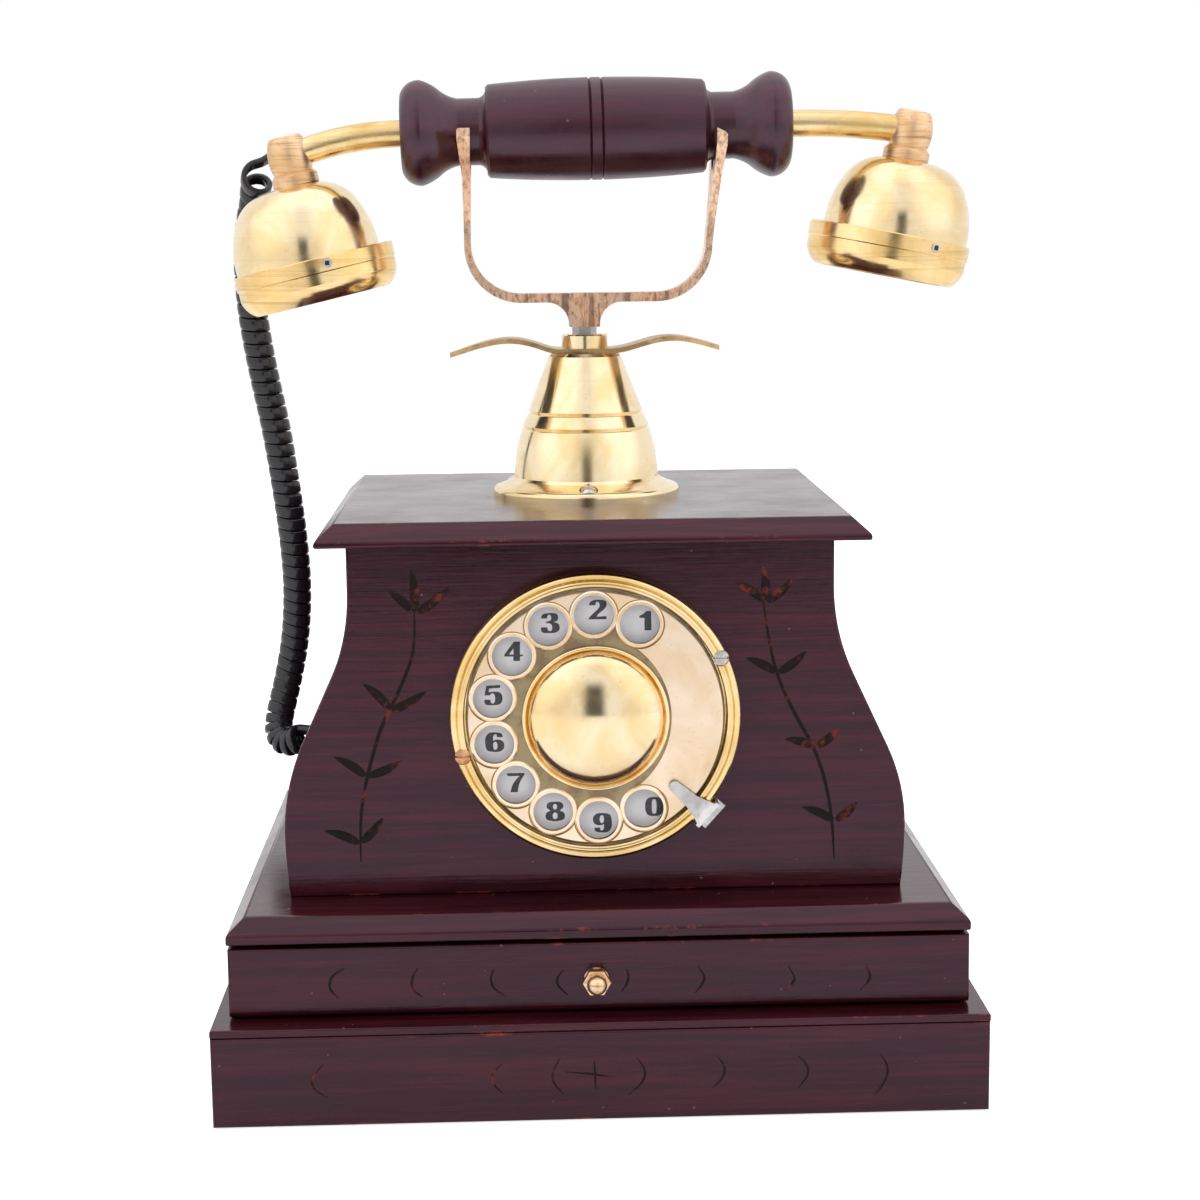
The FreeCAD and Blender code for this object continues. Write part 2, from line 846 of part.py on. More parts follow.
def lock_nut():
    nut = hexagon(lock_nut_flats, lock_nut_height, vec(0, 0, nut_top))
    return nut.cut(rod(plunger_radius, vec(0, 0, nut_top), vec(0, 0, fork_foot)))


def fork_arm(side):
    """One arm's outline seen from the front: up its outer side, over the tip and down its inner side."""
    sign = side_sign(side)
    bar_low = fork_foot + fork_boss_height
    bar_high = bar_low + fork_bar_height
    crotch = handset_axis_height - fork_crotch_below
    outer_high = handset_axis_height + fork_outer_above[side]
    inner_high = handset_axis_height + fork_inner_above[side]
    flare = outer_high - fork_tip_length
    outer = fork_corner_radius
    inner = outer - fork_arm_thickness
    bend = 1 - math.sqrt(0.5)
    prong_x = fork_prong_x[side]
    tip_x = fork_tip_x[side]
    out_x = fork_arm_x[side] + sign * fork_arm_thickness / 2
    in_x = fork_arm_x[side] - sign * fork_arm_thickness / 2
    half_tip = fork_tip_thickness[side] / 2
    half_prong = fork_prong_thickness / 2
    return [(out_x - sign * outer, bar_low),
            (out_x - sign * outer * bend, bar_low + outer * bend, out_x, bar_low + outer),
            (prong_x + sign * half_prong, crotch), (tip_x + sign * half_tip, flare),
            (tip_x + sign * half_tip, outer_high - half_tip * 0.5),
            (tip_x + sign * half_tip * 0.6, outer_high),
            (tip_x - sign * half_tip, inner_high), (tip_x - sign * half_tip, flare),
            (prong_x - sign * half_prong, crotch), (in_x, bar_high + inner),
            (in_x - sign * inner * bend, bar_high + inner * bend, in_x - sign * inner, bar_high)]


def cradle_fork():
    """A casting: its front view and its side view, each drawn flat, cut each other out."""
    bar_low = fork_foot + fork_boss_height
    tip_high = handset_axis_height + fork_inner_above["left"]
    crotch = handset_axis_height - fork_crotch_below
    arm_end = crotch - fork_arm_depth * 1.5
    half_root = fork_root_width / 2
    half_boss = fork_boss_width / 2
    waist = fork_foot + fork_boss_height * 0.6
    path = [(half_boss, fork_foot), (half_boss + 1.2, waist, half_root, bar_low)] + fork_arm("right")
    path += reversed_steps(fork_arm("left"))
    path += [(-half_root, bar_low), (-half_boss - 1.2, waist, -half_boss, fork_foot)]
    front_view = outline((-half_boss, fork_foot), path, in_xz(-fork_tip_depth))
    front_solid = front_view.extrude(Y * 2 * fork_tip_depth)

    half_arm = fork_arm_depth / 2
    half_crotch = fork_crotch_depth / 2
    half_tip = fork_tip_depth / 2
    half_foot = fork_boss_depth / 2
    side_steps = [(half_foot, fork_foot), (half_arm, bar_low), (half_arm, arm_end),
                  (half_crotch, crotch + 1), (half_tip, tip_high - fork_tip_length),
                  (half_tip - 0.8, tip_high), (-half_tip + 0.8, tip_high),
                  (-half_tip, tip_high - fork_tip_length), (-half_crotch, crotch + 1),
                  (-half_arm, arm_end), (-half_arm, bar_low)]
    reach = handle_length
    side_view = outline((-half_foot, fork_foot), side_steps, in_yz(-reach))
    fork = front_solid.common(side_view.extrude(X * 2 * reach))
    fork = fork.cut(vee_space())
    return fork.cut(rod(plunger_radius, vec(0, 0, fork_foot), vec(0, 0, fork_foot + plunger_thread_depth)))


def vee_space():
    """The room for the handle's necks between the prongs, along the handle's own axis."""
    grip = neck_radius + cradle_gap
    slope = math.asin(grip / fork_crotch_below)
    run = 2 * fork_tip_depth
    centre = vee_round / math.sin(slope) - fork_crotch_below
    touch_y = vee_round * math.cos(slope)
    touch_z = centre - vee_round * math.sin(slope)
    high = fork_tip_depth
    far_y = touch_y + (high - touch_z) * math.tan(slope)
    steps = [(0, centre - vee_round, touch_y, touch_z), (far_y, high), (-far_y, high)]
    face = outline((-touch_y, touch_z), steps, in_yz(-run))
    return in_handset(face.extrude(X * 2 * run))


# Handset, drawn about the handle's middle with its axis along X and then set on the fork

def in_handset(solid):
    moved = solid.copy()
    moved.rotate(ORIGIN, Y, -handset_tilt)
    moved.translate(vec(handset_shift, 0, handset_axis_height))
    return moved


def in_handset_way(way):
    return FreeCAD.Rotation(Y, -handset_tilt).multVec(way)


def along_x(solid):
    moved = solid.copy()
    moved.rotate(ORIGIN, Y, 90)
    return moved


def handle():
    half = handle_length / 2
    neck = neck_spacing / 2
    flat = neck_flat / 2
    shoulder = barrel_length / 2
    crown = half - knuckle_from_end
    groove = handle_groove_spacing / 2
    rise = crown - neck - flat
    right = [(barrel_radius, groove - 0.45), (barrel_radius - handle_groove_depth, groove),
             (barrel_radius, groove + 0.45),
             ((barrel_radius + barrel_end_radius) / 2 + 0.35, shoulder / 2,
              barrel_end_radius, shoulder - 0.8),
             (barrel_end_radius - 0.8, shoulder),
             (neck_radius + 0.5, (shoulder + neck - flat) / 2, neck_radius, neck - flat),
             (neck_radius, neck + flat),
             (neck_radius + 1.0, neck + flat + rise * 0.27, (neck_radius + knuckle_radius) / 2,
              neck + flat + rise * 0.52),
             (knuckle_radius - 1.0, crown - rise * 0.22, knuckle_radius, crown),
             (knuckle_radius - 0.9, crown + knuckle_from_end * 0.6, handle_end_radius, half)]
    left = [tuple(-value if k % 2 else value for k, value in enumerate(step)) for step in right]
    body = turned((0, -half), reversed_steps(left) + right + [(0, half)])
    body = body.cut(rod(handle_bore_radius, vec(0, 0, -half), vec(0, 0, half)))
    for low, high in ((-half, -half + tube_socket), (half - tube_socket, half)):
        body = body.cut(rod(tube_radius, vec(0, 0, low), vec(0, 0, high)))
    return in_handset(along_x(body))


def elbow_axis(side):
    """Unit vector from the elbow's top down to the bell's mouth, which faces a little inwards."""
    turn = math.radians(bell_tilt[side])
    return vec(-side_sign(side) * math.sin(turn), 0, -math.cos(turn))


def elbow_top(side):
    return vec(side_sign(side) * elbow_reach[side], 0, elbow_rise[side])


def on_elbow(solid, side, depth=0.0):
    """Sets a piece turned about Z, top at height 0 and going down, on the elbow's line."""
    moved = solid.copy()
    moved.rotate(ORIGIN, Y, side_sign(side) * bell_tilt[side])
    moved.translate(elbow_top(side) + elbow_axis(side) * depth)
    return moved


def tube_line(side):
    """The tube's centre line: out of the handle, then one long bend down into the elbow."""
    sign = side_sign(side)
    start = vec(sign * (handle_length / 2 - tube_socket), 0, 0)
    straight_end = vec(sign * (handle_length / 2 + 1.0), 0, 0)
    target = elbow_top(side) + elbow_axis(side) * elbow_tube_drop - X * sign * elbow_tube_inset
    chord = target - straight_end
    slope = math.atan2(-chord.z, abs(chord.x))
    radius = chord.Length / (2 * math.sin(slope))
    half_turn = slope
    middle = vec(straight_end.x + sign * radius * math.sin(half_turn), 0, -radius * (1 - math.cos(half_turn)))
    line = Part.LineSegment(start, straight_end).toShape()
    bend = Part.Arc(straight_end, middle, target).toShape()
    return Part.Wire([line, bend]), start, target


def tube_solid(side, radius):
    path, start, target = tube_line(side)
    circle = Part.Wire(Part.makeCircle(radius, start, X))
    return path.makePipeShell([circle], True, False)


def handset_tubes():
    tubes = []
    for side in ("left", "right"):
        tube = tube_solid(side, tube_radius).cut(tube_solid(side, tube_radius - tube_wall))
        tubes.append(in_handset(tube.cut(elbow_well(side))))
    return group(tubes)


def elbow_well(side):
    """The wire channel down the elbow, which also ends the tube inside it."""
    return on_elbow(rod(handle_bore_radius, vec(0, 0, -elbow_height), vec(0, 0, 0)), side, 1.5)


def elbow(side):
    height = elbow_height
    collar = elbow_collar_height - height
    steps = [(elbow_top_radius - 0.5, 0), (elbow_top_radius, -0.5),
             (elbow_bulge_radius, -elbow_tube_drop, elbow_neck_radius, collar + 0.8),
             (elbow_collar_radius - 0.4, collar), (elbow_collar_radius, collar - 0.4),
             (elbow_collar_radius, -height), (0, -height)]
    body = on_elbow(turned((0, 0), steps), side)
    if side == "left":
        body = body.fuse(cord_inlet_solid())
    return in_handset(body.cut(elbow_well(side)).cut(tube_solid(side, tube_radius)))


def handset_elbows():
    return group([elbow("left"), elbow("right")])


def cord_inlet_start():
    return elbow_top("left") + elbow_axis("left") * cord_inlet_drop


def cord_inlet_solid():
    start = cord_inlet_start()
    return rod(cord_inlet_radius, start, start + Y * (elbow_bulge_radius + cord_inlet_length))


def outwards(side, distance):
    """The bells and their caps sit a little off the elbows' lines, away from the handle."""
    return X * side_sign(side) * distance[side]


def ear_bell(side):
    shoulder = bell_shoulder_height
    low = -bell_height - cap_upper_band
    middle = -(shoulder + bell_height) / 2
    wall = bell_wall
    outer = turned((0, 0), [(bell_crown_radius, 0),
                            (bell_shoulder_radius * 0.76, -shoulder * 0.30, bell_shoulder_radius, -shoulder),
                            (bell_rim_radius - 0.5, middle, bell_rim_radius, -bell_height),
                            (bell_rim_radius, low), (0, low)])
    inner = turned((0, -wall), [(bell_crown_radius - wall / 2, -wall),
                                (bell_shoulder_radius * 0.76 - wall, -shoulder * 0.30 - wall * 0.9,
                                 bell_shoulder_radius - wall, -shoulder),
                                (bell_rim_radius - wall - 0.5, middle, bell_rim_radius - wall, -bell_height),
                                (bell_rim_radius - wall, low), (0, low)])
    shell = outer.cut(inner).cut(rod(handle_bore_radius, vec(0, 0, -2 * wall), ORIGIN))
    shell.translate(outwards(side, bell_offset))
    shell = on_elbow(shell, side, elbow_height)
    return in_handset(shell.cut(grub_screw_space(side)))


def ear_bells():
    return group([ear_bell("left"), ear_bell("right")])


def cap_height():
    return cap_upper_band + cap_lower_band + cap_bevel


def ear_cap(side):
    """The band round the bell's rim, stepped and bevelled in to the mouth."""
    lower = -cap_upper_band - cap_lower_band
    mouth = -cap_height()
    step = cap_radius - cap_step
    steps = [(cap_radius - 0.3, 0), (cap_radius, -0.3), (cap_radius, -cap_upper_band),
             (step, -cap_upper_band - 0.3), (step, lower),
             (step - 1.4, (lower + mouth) / 2 - 0.4, cap_mouth_radius, mouth), (0, mouth)]
    band = turned((0, 0), steps)
    band = band.cut(rod(cap_mouth_radius - cap_lip, vec(0, 0, mouth), vec(0, 0, mouth + capsule_recess)))
    band = band.cut(rod(cap_cavity_radius, vec(0, 0, mouth + capsule_recess), vec(0, 0, -cap_web)))
    skirt = rod(bell_rim_radius, vec(0, 0, -cap_upper_band), ORIGIN)
    skirt.translate(outwards(side, bell_offset))
    band.translate(outwards(side, cap_offset))
    band = on_elbow(band.cut(skirt), side, elbow_height + bell_height)
    return in_handset(band.cut(grub_screw_space(side)))


def ear_caps():
    return group([ear_cap("left"), ear_cap("right")])


def capsule(side, rings):
    """The disc behind the mouth, drilled with rings of small holes."""
    radius = cap_cavity_radius - touch_gap
    low = -cap_height() + capsule_recess
    disc = turned((0, low), [(cap_mouth_radius - cap_lip - touch_gap, low), (radius, low + 1.0),
                             (radius, low + capsule_thickness), (0, low + capsule_thickness)])
    places = [(0.0, 0.0)]
    for k in range(1, rings + 1):
        places += [polar(capsule_ring_step * k, 60 / k * j) for j in range(6 * k)]
    for x, y in places:
        disc = disc.cut(rod(capsule_hole_radius, vec(x, y, low), vec(x, y, low + 1.6)))
    disc.translate(outwards(side, cap_offset))
    return in_handset(on_elbow(disc, side, elbow_height + bell_height))


def grub_screw_line(side):
    """Where the screw through the band stands: on the front, a little to the right."""
    middle = -(bell_height + cap_upper_band / 2)
    facing = math.radians(grub_screw_facing[side])
    way = vec(math.cos(facing), math.sin(facing), 0)
    spot = outwards(side, cap_offset) + Z * middle
    inset = bell_wall + (bell_offset[side] - cap_offset[side]) * 0.5
    return spot + way * (bell_rim_radius - inset), spot + way * (cap_radius + touch_gap)


def grub_screw_space(side):
    inner, outer = grub_screw_line(side)
    return on_elbow(rod(grub_screw_radius, inner, outer), side, elbow_height)


def grub_screws():
    screws = []
    for side in ("left", "right"):
        inner, outer = grub_screw_line(side)
        along = (outer - inner).normalize()
        screw = rod(grub_screw_radius, inner, outer)
        key = Part.makeBox(1.3, 1.3, 0.9, vec(-0.65, -0.65, 0))
        seat = FreeCAD.Placement(outer - along * 0.8, FreeCAD.Rotation(Z, along))
        key.Placement = seat.multiply(key.Placement)
        screws.append(in_handset(on_elbow(screw.cut(key), side, elbow_height)))
    return group(screws)


# Dial

def bezel_screw_places():
    return [polar(bezel_screw_circle, angle) for angle in bezel_screw_angles]


def dial_bezel():
    """A dished ring with two beads on its rim and a floor that the number plate lies on."""
    high = bezel_height
    valley = (bezel_radius + bezel_inner_radius) / 2
    steps = [(bezel_radius - 0.3, 0), (bezel_radius, 0.6), (bezel_radius, high - 1.8),
             (bezel_radius - 0.5, high - 0.7, valley + 1.1, high - 0.3), (valley, high - 0.9),
             (valley - 0.9, high, bezel_inner_radius, high - 0.9), (bezel_inner_radius, bezel_floor),
             (bezel_floor_bore, bezel_floor)]
    ring = turned((bezel_floor_bore, 0), steps)
    for x, y in bezel_screw_places():
        seat = vec(x, y, high - 1.9)
        recess = vec(x, y, high - 1.0)
        ring = ring.cut(rod(bezel_screw_radius + 0.05, vec(x, y, -1), recess))
        ring = ring.cut(Part.makeCone(bezel_screw_radius, bezel_screw_radius + 0.9, 0.9, seat))
        ring = ring.cut(rod(bezel_screw_radius + 0.9, recess, recess + Z * 2))
    return to_dial(ring)


def bezel_screws():
    screws = []
    low = -4.0
    high = bezel_height - bezel_screw_sink
    for x, y in bezel_screw_places():
        shank = rod(bezel_screw_radius, vec(x, y, low), vec(x, y, high))
        head = Part.makeCone(bezel_screw_radius, bezel_screw_radius + 0.8, 0.8, vec(x, y, high - 0.8))
        slot = box(x - 3, x + 3, y - 0.25, y + 0.25, high - 0.5, high)
        screws.append(to_dial(fuse([shank, head]).cut(slot)))
    return group(screws)


def number_plate():
    low = bezel_floor
    high = low + number_plate_thickness
    inner = dial_shaft_radius + touch_gap
    outer = bezel_inner_radius - touch_gap
    steps = [(outer, low), (outer, high - 0.3), (outer - 0.3, high), (inner, high)]
    return to_dial(turned((inner, low), steps))


def finger_hole_places():
    return [polar(finger_circle, finger_hole_first + finger_hole_step * k) for k in range(finger_hole_count)]


def wheel_low():
    return bezel_floor + number_plate_thickness + wheel_gap


def finger_wheel():
    low = wheel_low()
    high = low + wheel_thickness
    bore = dial_shaft_radius
    steps = [(wheel_radius - 0.4, low), (wheel_radius, low + 0.4), (wheel_radius, high - 0.4),
             (wheel_radius - 0.4, high), (bore, high)]
    wheel = turned((bore, low), steps)
    rim = finger_hole_radius + finger_rim_width
    rims = []
    for x, y in finger_hole_places():
        ring = Part.makeCone(rim, rim - 0.6, finger_rim_height, vec(x, y, high))
        rims.append(ring)
    wheel = wheel.multiFuse(rims)
    for x, y in finger_hole_places():
        wheel = wheel.cut(rod(finger_hole_radius, vec(x, y, low), vec(x, y, high + finger_rim_height)))
    return to_dial(wheel)


def dial_dome():
    """The polished boss in the middle of the wheel, with a bead round it."""
    low = wheel_low() + wheel_thickness
    bead = dome_ring_height
    middle_radius = dome_radius * 0.62
    sphere = (dome_radius ** 2 + dome_height ** 2) / (2 * dome_height)
    middle_height = math.sqrt(sphere ** 2 - middle_radius ** 2) - sphere + dome_height
    steps = [(dome_ring_radius, low), (dome_ring_radius, low + bead * 0.5),
             ((dome_ring_radius + dome_radius) / 2, low + bead, dome_radius, low + bead * 0.4),
             (middle_radius, low + bead * 0.4 + middle_height, 0, low + bead * 0.4 + dome_height)]
    return to_dial(turned((0, low), steps))


def finger_stop():
    """A strip over the wheel's edge that narrows inwards, bent down over the bezel to a foot."""
    face = wheel_low() + wheel_thickness + finger_rim_height + 0.6
    high = face + stop_thickness
    out = bezel_radius + 0.3
    half_in = stop_inner_width / 2
    half_out = stop_outer_width / 2
    blade = outline((stop_inner_radius, -half_in),
                    [(out - 6, -half_in - 0.5), (out - 2, -half_out * 0.7, out + stop_thickness, -half_out),
                     (out + stop_thickness, half_out), (out - 2, half_out * 0.7, out - 6, half_in + 0.5),
                     (stop_inner_radius, half_in), (stop_inner_radius - 0.9, 0, stop_inner_radius, -half_in)],
                    in_xy(face)).extrude(Z * stop_thickness)
    leg = box(out, out + stop_thickness, -half_out, half_out, 0, high)
    foot = box(out, out + stop_foot_length, -half_out, half_out, 0, stop_thickness)
    stop = fuse([blade, leg, foot])
    stop.rotate(ORIGIN, Z, stop_angle)
    return to_dial(stop)


# Dial works, behind the front panel

def pillar_places():
    return [polar(pillar_circle, angle) for angle in pillar_angles]


gear_distance = gear_module * (main_teeth + pinion_teeth) / 2 + gear_play
works_back = -works_depth
gear_low = -works_plate_thickness - gear_setback - gear_thickness


def dial_frame():
    """The two plates of the dial's works, and the three pillars that hold them apart."""
    front = rod(works_plate_radius, vec(0, 0, -works_plate_thickness), ORIGIN)
    high = works_back + works_plate_thickness
    rear = rod(works_plate_radius, vec(0, 0, works_back), vec(0, 0, high))
    inner = -works_plate_thickness
    pillars = [rod(pillar_radius, vec(x, y, high), vec(x, y, inner)) for x, y in pillar_places()]
    frame = fuse([front, rear] + pillars)
    frame = frame.cut(rod(dial_shaft_radius + bearing_gap, vec(0, 0, works_back), ORIGIN))
    place = vec(0, gear_distance, 0)
    return to_dial(frame.cut(rod(governor_shaft_radius + bearing_gap, place + Z * works_back, place)))


def dial_shaft():
    high = wheel_low() + wheel_thickness
    shaft = rod(dial_shaft_radius, vec(0, 0, works_back - 1.5), vec(0, 0, high))
    shaft = shaft.cut(rod(dial_shaft_radius * 0.4, vec(0, 0, works_back - 1.5), vec(0, 0, works_back)))
    return to_dial(shaft)


def gear_blank(teeth, low, turn):
    """A spur gear whose straight-sided teeth are narrow enough to run with play."""
    pitch_radius = gear_module * teeth / 2
    tip = pitch_radius + gear_module * 0.85
    root = pitch_radius - gear_module * 1.2
    step = 360.0 / teeth
    half_pitch = step * tooth_share / 2
    half_tip = half_pitch * 0.55
    half_root = half_pitch * 1.35
    points = []
    for k in range(teeth):
        middle = turn + step * k
        for radius, angle in ((root, middle - half_root), (tip, middle - half_tip),
                              (tip, middle + half_tip), (root, middle + half_root)):
            points.append(vec(*polar(radius, angle), low))
    return Part.Face(Part.makePolygon(points + points[:1])).extrude(Z * gear_thickness)


def main_gear():
    gear = gear_blank(main_teeth, gear_low, 90.0)
    gear = gear.cut(rod(dial_shaft_radius, vec(0, 0, gear_low), vec(0, 0, gear_low + gear_thickness)))
    pitch_radius = gear_module * main_teeth / 2
    for k in range(5):
        x, y = polar(pitch_radius * 0.58, 72 * k)
        gear = gear.cut(rod(pitch_radius * 0.16, vec(x, y, gear_low), vec(x, y, gear_low + gear_thickness)))
    return to_dial(gear)


def governor_pinion():
    place = vec(0, gear_distance, 0)
    pinion = gear_blank(pinion_teeth, gear_low, 270.0 + 180.0 / pinion_teeth)
    pinion.translate(place)
    shaft = rod(governor_shaft_radius, place + Z * works_back, place)
    return to_dial(fuse([pinion, shaft]))


def governor_weights():
    """The governor's disc on the pinion's shaft, with its two brake weights."""
    place = vec(0, gear_distance, gear_low - 1.0 - governor_thickness)
    disc = rod(governor_radius, place, place + Z * governor_thickness * 0.4)
    arms = []
    for side in (-1, 1):
        spot = place + vec(side * (governor_radius - governor_weight_radius - 0.6), 0, 0)
        arms.append(rod(governor_weight_radius, spot, spot + Z * governor_thickness))
    rotor = fuse([disc] + arms)
    rotor = rotor.cut(rod(governor_shaft_radius, place, place + Z * governor_thickness))
    return to_dial(rotor)


def dial_mainspring():
    """A flat spiral made of half turns that widen step by step, round the dial's shaft."""
    high = -works_plate_thickness
    low = high - mainspring_width
    step = (mainspring_strip + mainspring_gap) / 2
    halves = []
    centre = 0.0
    radius = mainspring_inner_radius + mainspring_strip
    for k in range(mainspring_half_turns):
        side = 1 if k % 2 == 0 else -1
        outer = radius
        inner = radius - mainspring_strip
        face = outline((centre - outer, 0), [(centre, side * outer, centre + outer, 0), (centre + inner, 0),
                                             (centre, side * inner, centre - inner, 0)], in_xy(low))
        halves.append(face.extrude(Z * mainspring_width))
        centre += -side * step
        radius += step
    return to_dial(fuse(halves))


def impulse_contacts():
    """The insulated block and its two blades on the rear works plate."""
    low = works_back + works_plate_thickness
    block = box(8.0, 14.0, -16.0, -10.0, low, low + 5.0)
    blades = [box(-2.0, 8.0, -14.0 + k * 2.0, -13.6 + k * 2.0, low + 1.0, low + 4.0) for k in range(2)]
    return to_dial(fuse([block] + blades))


# Hook switch, under the top board

def switch_bracket():
    half = switch_bracket_width / 2
    low = case_top - plunger_drop - switch_block_height
    back = switch_offset + switch_bracket_width
    plate = box(-half, half, switch_offset, back, case_top - switch_bracket_thickness, case_top)
    wall = box(-half, half, back - switch_bracket_thickness, back, low, case_top)
    return fuse([plate, wall])


def switch_contacts():
    """Three blades and their block; the plunger's tip stands on the upper blade."""
    half = switch_blade_width / 2
    high = case_top - plunger_drop - touch_gap
    back = switch_offset + switch_bracket_width - switch_bracket_thickness
    blades = []
    for k in range(3):
        top = high - k * (switch_blade_thickness + switch_blade_gap)
        front = -4.0 if k == 0 else -1.0
        blades.append(box(-half, half, front, back, top - switch_blade_thickness, top))
    block = box(-half - 1.5, half + 1.5, back - 7.0, back, high - switch_block_height + touch_gap, high + 1.5)
    return fuse([block] + blades)


# Ringer, on the moulding board behind the dial works

ringer_floor = moulding_top + ringer_base_thickness
gong_base = ringer_floor + gong_lift
gong_spacing = 2 * (gong_radius + clapper_ball_radius + clapper_play)


def ringer_frame():
    """Base strip with the two gong posts and the lugs that carry the clapper's pin."""
    x = ringer_base_length / 2
    y = ringer_base_width / 2
    base = box(-x, x, ringer_y - y, ringer_y + y, moulding_top, ringer_floor)
    posts = []
    for side in (-1, 1):
        foot = vec(side * gong_spacing / 2, ringer_y, ringer_floor)
        posts.append(rod(post_radius, foot, foot + Z * (gong_lift + gong_height + 1.5)))
    pivot = ringer_floor + clapper_pivot_height
    lugs = []
    for low in (ringer_y - 4.5, ringer_y + 3.0):
        lug = box(-3.0, 3.0, low, low + 1.5, ringer_floor, pivot + 3.0)
        pin_hole = rod(clapper_pivot_radius + bearing_gap, vec(0, low, pivot), vec(0, low + 1.5, pivot))
        lugs.append(lug.cut(pin_hole))
    return fuse([base] + posts + lugs)


def ringer_coils():
    coils = []
    for side in (-1, 1):
        foot = vec(side * coil_spacing / 2, ringer_y, ringer_floor)
        core = rod(coil_radius * 0.4, foot, foot + Z * (coil_length + 1.0))
        winding = rod(coil_radius * 0.9, foot + Z * 1.0, foot + Z * (coil_length - 1.0))
        flanges = [rod(coil_radius, foot + Z * low, foot + Z * (low + 1)) for low in (0, coil_length - 1)]
        coils.append(fuse([core, winding] + flanges))
    return group(coils)


def ringer_gongs():
    gongs = []
    wall = gong_wall
    for side in (-1, 1):
        shell = turned((gong_radius - wall, 0),
                       [(gong_radius, 0), (gong_radius * 0.8, gong_height * 0.72, 0, gong_height),
                        (0, gong_height - wall),
                        (gong_radius * 0.8 - wall * 0.8, gong_height * 0.72 - wall, gong_radius - wall, 0)])
        shell.translate(vec(side * gong_spacing / 2, ringer_y, gong_base))
        foot = vec(side * gong_spacing / 2, ringer_y, gong_base)
        gongs.append(shell.cut(rod(post_radius, foot, foot + Z * (gong_height + 2))))
    return group(gongs)


def ringer_clapper():
    """Armature, rod and ball on a pin across the two lugs."""
    pivot = ringer_floor + clapper_pivot_height
    pin = rod(clapper_pivot_radius, vec(0, ringer_y - 4.5, pivot), vec(0, ringer_y + 4.5, pivot))
    hub = rod(clapper_pivot_radius + 1.4, vec(0, ringer_y - 2.0, pivot), vec(0, ringer_y + 2.0, pivot))
    ball_height = gong_base + clapper_ball_radius * 0.5
    stem = rod(clapper_rod_radius, vec(0, ringer_y, pivot), vec(0, ringer_y, ball_height))
    ball = Part.makeSphere(clapper_ball_radius, vec(0, ringer_y, ball_height))
    reach = coil_spacing / 2 + coil_radius * 0.4
    arm_low = ringer_floor + coil_length + 3.0
    arm = box(-reach, reach, ringer_y - 2.0, ringer_y + 2.0, arm_low, arm_low + 1.5)
    return fuse([pin, hub, stem, ball, arm])


# Circuit board and line socket, on the rear panel

def circuit_board():
    """Board with its parts: two cans, a row of small blocks and the terminal strip."""
    x = board_length / 2
    low = moulding_top + board_lift
    back = case_back - panel_thickness - board_standoff
    front = back - board_thickness
    board = box(-x, x, front, back, low, low + board_height)
    parts = [board]
    for i in (-1, 1):
        for j in (0.12, 0.88):
            foot = vec(i * (x - 5), back, low + board_height * j)
            parts.append(rod(2.5, foot, foot + Y * board_standoff))
    for spot in (-22.0, -9.0):
        foot = vec(spot, front, low + board_height * 0.6)
        parts.append(rod(4.5, foot, foot - Y * 9.0))
    for k in range(5):
        left = 2.0 + k * 7.0
        parts.append(box(left, left + 4.5, front - 2.2, front, low + 22.0, low + 31.0))
    parts.append(box(-30.0, 30.0, front - 8.0, front, low + 4.0, low + 12.0))
    return fuse(parts)


def line_socket():
    x, z = socket_centre()
    half_width = socket_width / 2
    half_height = socket_height / 2
    front = case_back - socket_length
    body = box(x - half_width, x + half_width, front, case_back, z - half_height, z + half_height)
    mouth_x = socket_mouth_width / 2
    mouth_z = socket_mouth_height / 2
    deep = case_back - socket_mouth_depth
    mouth = box(x - mouth_x, x + mouth_x, deep, case_back, z - mouth_z, z + mouth_z)
    notch = box(x - mouth_x / 2, x + mouth_x / 2, deep, case_back, z - mouth_z - 1.6, z - mouth_z)
    return body.cut(mouth).cut(notch)


# Curly cord, from the gland in the case's left side up to the handset's left elbow

def gland_face():
    return left_wall_x(gland_height) + gland_recess


def curl_radius():
    return (cord_curl_diameter - cord_wire) / 2


def cord_gland():
    """A plug in the side panel's hole, with a flange that follows the panel's inner face."""
    inner = case_outline(gland_y - gland_flange_radius, side_thickness).extrude(Y * 2 * gland_flange_radius)
    start = vec(gland_face(), gland_y, gland_height)
    wall_x = left_wall_x(gland_height) + side_thickness
    end = vec(wall_x + gland_flange, gland_y, gland_height)
    flange = rod(gland_flange_radius, start - X * gland_flange, end).common(inner)
    gland = fuse([rod(gland_radius, start, end), flange])
    return gland.cut(rod(cord_wire / 2, start + X * gland_wall, end))


def cord_end_on_handset():
    start = cord_inlet_start() + Y * (elbow_bulge_radius + cord_inlet_length)
    spot = Part.Vertex(start)
    return in_handset(spot).Point


